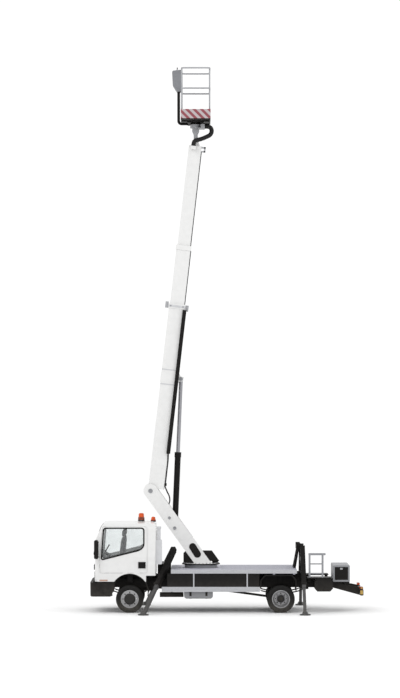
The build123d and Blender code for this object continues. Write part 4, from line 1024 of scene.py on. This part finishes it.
def corrugated_hose():
    """The thick sleeve from the boom's head to the basket's link."""
    points = [LEVEL + Vector((x, 0, z)) for x, z in HOSE_ROUTE]
    points += [HOSE_FOOT + U * HOSE_FOOT_RISE, HOSE_FOOT]
    points = [Vector((q.x, HOSE_Y, q.z)) for q in points]
    path = even_path(rounded_path(points, HOSE_BEND_RADII), RIDGE_STEP)
    radii = [HOSE_R - (RIDGE_DEPTH if k % STEPS_PER_GROOVE else GROOVE_DEPTH) for k in range(len(path))]
    hose = Mould()
    hose.tube(path, radii, 20)
    piece = hose.emit("basket_hose_skin", RUBBER, smooth=True)
    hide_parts("basket_hose")
    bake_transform(piece)


turret_hoses()
corrugated_hose()

# Control box in the basket: places from its high X, its low Y and its top
LEVERS = 4
LEVER_IN = 0.10
LEVER_FIRST_Y = 0.08
LEVER_PITCH = 0.06
LEVER_SINK = 0.012
LEVER_LEAN = Vector((0.012, 0, 0.052))
LEVER_R = 0.006
KNOB_START = Vector((0.012, 0, 0.045))
KNOB_END = Vector((0.016, 0, 0.072))
KNOB_RADII = (0.012, 0.010)
STOP_IN = 0.07
STOP_SINK = 0.010
STOP_L = 0.022
STOP_RADII = (0.022, 0.020)


def box_controls():
    """Plain levers and a stop button on the control box's top, towards the basket."""
    low, high = corners("control_box")
    levers, knobs, stop = Mould(), Mould(), Mould()
    for k in range(LEVERS):
        foot = Vector((high.x - LEVER_IN, low.y + LEVER_FIRST_Y + LEVER_PITCH * k, high.z - LEVER_SINK))
        levers.rod(foot, foot + LEVER_LEAN, LEVER_R, sides=10)
        knobs.rod(foot + KNOB_START, foot + KNOB_END, *KNOB_RADII, 14)
    foot = Vector((high.x - STOP_IN, high.y - STOP_IN, high.z - STOP_SINK))
    stop.rod(foot, foot + Vector((0, 0, STOP_L)), *STOP_RADII, 24)
    levers.emit("control_levers", CHROME, "basket")
    knobs.emit("control_lever_knobs", BLACK_PLASTIC, "basket", smooth=True)
    stop.emit("control_stop_button", STOP_RED, "basket")


box_controls()

# Seats with sewn cushions: X is from the front axle, Y from each seat's middle
SEAT_Y = 0.42
# columns: X, Z, half sizes, swell, tilt
SEAT_PADS = [
    (-0.385, 1.160, (0.195, 0.225, 0.062), 0.014, 0.0),
    (-0.172, 1.470, (0.048, 0.218, 0.258), 0.012, 0.10),
    (-0.140, 1.820, (0.040, 0.120, 0.072), 0.008, 0.08),
]
SEAT_BASE_X = (-0.54, -0.19)
SEAT_BASE_HALF_Y = 0.20
SEAT_BASE_Z = (0.992, 1.105)
HEADREST_POSTS_Y = (-0.05, 0.05)
# columns: X, Z
POST_START, POST_END = (-0.150, 1.70), (-0.143, 1.765)
POST_R = 0.008
PIPING = [(-0.575, -0.22), (-0.195, -0.22), (-0.195, 0.22), (-0.575, 0.22)]
PIPING_CORNER_R = 0.07
PIPING_R = 0.006
PIPING_Z = 1.203


def cushion_place(q, half, crown, power):
    """Where a place on a cube's face lies on the stuffed cushion."""
    size = sum(abs(c) ** power for c in q) ** (1 / power)
    q = [c / size for c in q]
    swell = [crown * q[a] * (1 - q[(a + 1) % 3] ** 2) * (1 - q[(a + 2) % 3] ** 2) for a in range(3)]
    return Vector([q[a] * half[a] + swell[a] for a in range(3)])


def crowned(mould, centre, half, crown, tilt=0.0, power=5, cells=14):
    """A stuffed cushion: a rounded block whose faces swell and whose sides pull in."""
    turn = Matrix.Rotation(tilt, 3, "Y")
    row = cells + 1
    faces = []
    for i in range(cells):
        for j in range(cells):
            a = i * row + j
            faces.append((a, a + row, a + row + 1, a + 1))
    for axis in range(3):
        for sign in (-1, 1):
            verts = []
            for i in range(row):
                for j in range(row):
                    q = [0.0, 0.0, 0.0]
                    q[axis] = sign
                    q[(axis + 1) % 3] = 2 * i / cells - 1
                    q[(axis + 2) % 3] = (2 * j / cells - 1) * sign
                    verts.append(centre + turn @ cushion_place(q, half, crown, power))
            mould.add(verts, faces)


def seats():
    """Two seats, each with cushion, back and headrest on a base."""
    pads, base, piping = Mould(), Mould(), Mould()
    for side in SIDES:
        y = side * SEAT_Y
        for x, z, half, crown, tilt in SEAT_PADS:
            crowned(pads, Vector((FRONT_AXLE_X + x, y, z)), half, crown, tilt)
        base.box((FRONT_AXLE_X + SEAT_BASE_X[0], y - SEAT_BASE_HALF_Y, SEAT_BASE_Z[0]),
                 (FRONT_AXLE_X + SEAT_BASE_X[1], y + SEAT_BASE_HALF_Y, SEAT_BASE_Z[1]))
        for post in HEADREST_POSTS_Y:
            start, end = ((FRONT_AXLE_X + x, y + post, z) for x, z in (POST_START, POST_END))
            base.rod(start, end, POST_R, sides=10)
        edge = rounded_outline(PIPING, PIPING_CORNER_R)
        piping.loop([(FRONT_AXLE_X + px, y + py, PIPING_Z) for px, py in edge], PIPING_R, 8)
    pad = pads.emit("seat_cushions", CLOTH, "chassis", smooth=True)
    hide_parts("seats")
    base.emit("seat_bases", BLACK_PLASTIC, "chassis")
    piping.emit("seat_piping", HUB_BLACK, "chassis", smooth=True)


seats()

# Camera, floor and light
FLOOR_REACH = 400.0
FLOOR_COLOUR = (0.95, 0.95, 0.95)
SKY_COLOUR = (1.0, 1.0, 1.0, 1)
SKY_STRENGTH = 1.06
# columns: name, place, size, power
LIGHTS = [("key", (-14, -22, 24), 14, 1500), ("fill", (16, -18, 14), 12, 400)]
LIGHTS_LOOK_AT = Vector((0, 0, 4))
CAMERA_PLACE = (-0.604, -70.0, 5.2)
CAMERA_LENS = 154.5
CAMERA_SHIFT_Y = 0.0552
SENSOR_WIDTH = 36
FARTHEST_SEEN = 1000


def place_in_scene(name, data):
    """A new object in the scene that shows the given data."""
    thing = bpy.data.objects.new(name, data)
    bpy.context.scene.collection.objects.link(thing)
    return thing


def stage():
    """A pale floor, an even sky with two soft lights, and the photo's camera."""
    mesh = bpy.data.meshes.new("floor")
    reach = FLOOR_REACH
    mesh.from_pydata([(-reach, -reach, 0), (reach, -reach, 0), (reach, reach, 0), (-reach, reach, 0)],
                     [], [(0, 1, 2, 3)])
    mesh.materials.append(finish("pale floor", FLOOR_COLOUR, 0.95, grain=2, vary=0.01, shine=0.0))
    floor = place_in_scene("floor", mesh)
    scene = bpy.context.scene
    scene.world = bpy.data.worlds.new("studio")
    scene.world.use_nodes = True
    sky = scene.world.node_tree.nodes["Background"]
    sky.inputs["Color"].default_value = SKY_COLOUR
    sky.inputs["Strength"].default_value = SKY_STRENGTH
    for name, place, size, power in LIGHTS:
        light = bpy.data.lights.new(name, "AREA")
        light.size = size
        light.energy = power
        lamp = place_in_scene(name, light)
        lamp.location = place
        lamp.rotation_euler = (LIGHTS_LOOK_AT - Vector(place)).to_track_quat("-Z", "Y").to_euler()
    camera = bpy.data.cameras.new("camera")
    camera.lens = CAMERA_LENS
    camera.shift_y = CAMERA_SHIFT_Y
    camera.sensor_width = SENSOR_WIDTH
    camera.clip_end = FARTHEST_SEEN
    eye = place_in_scene("camera", camera)
    eye.location = CAMERA_PLACE
    eye.rotation_euler = (math.radians(90), 0, 0)
    scene.camera = eye
    scene.view_settings.view_transform = "Standard"


stage()
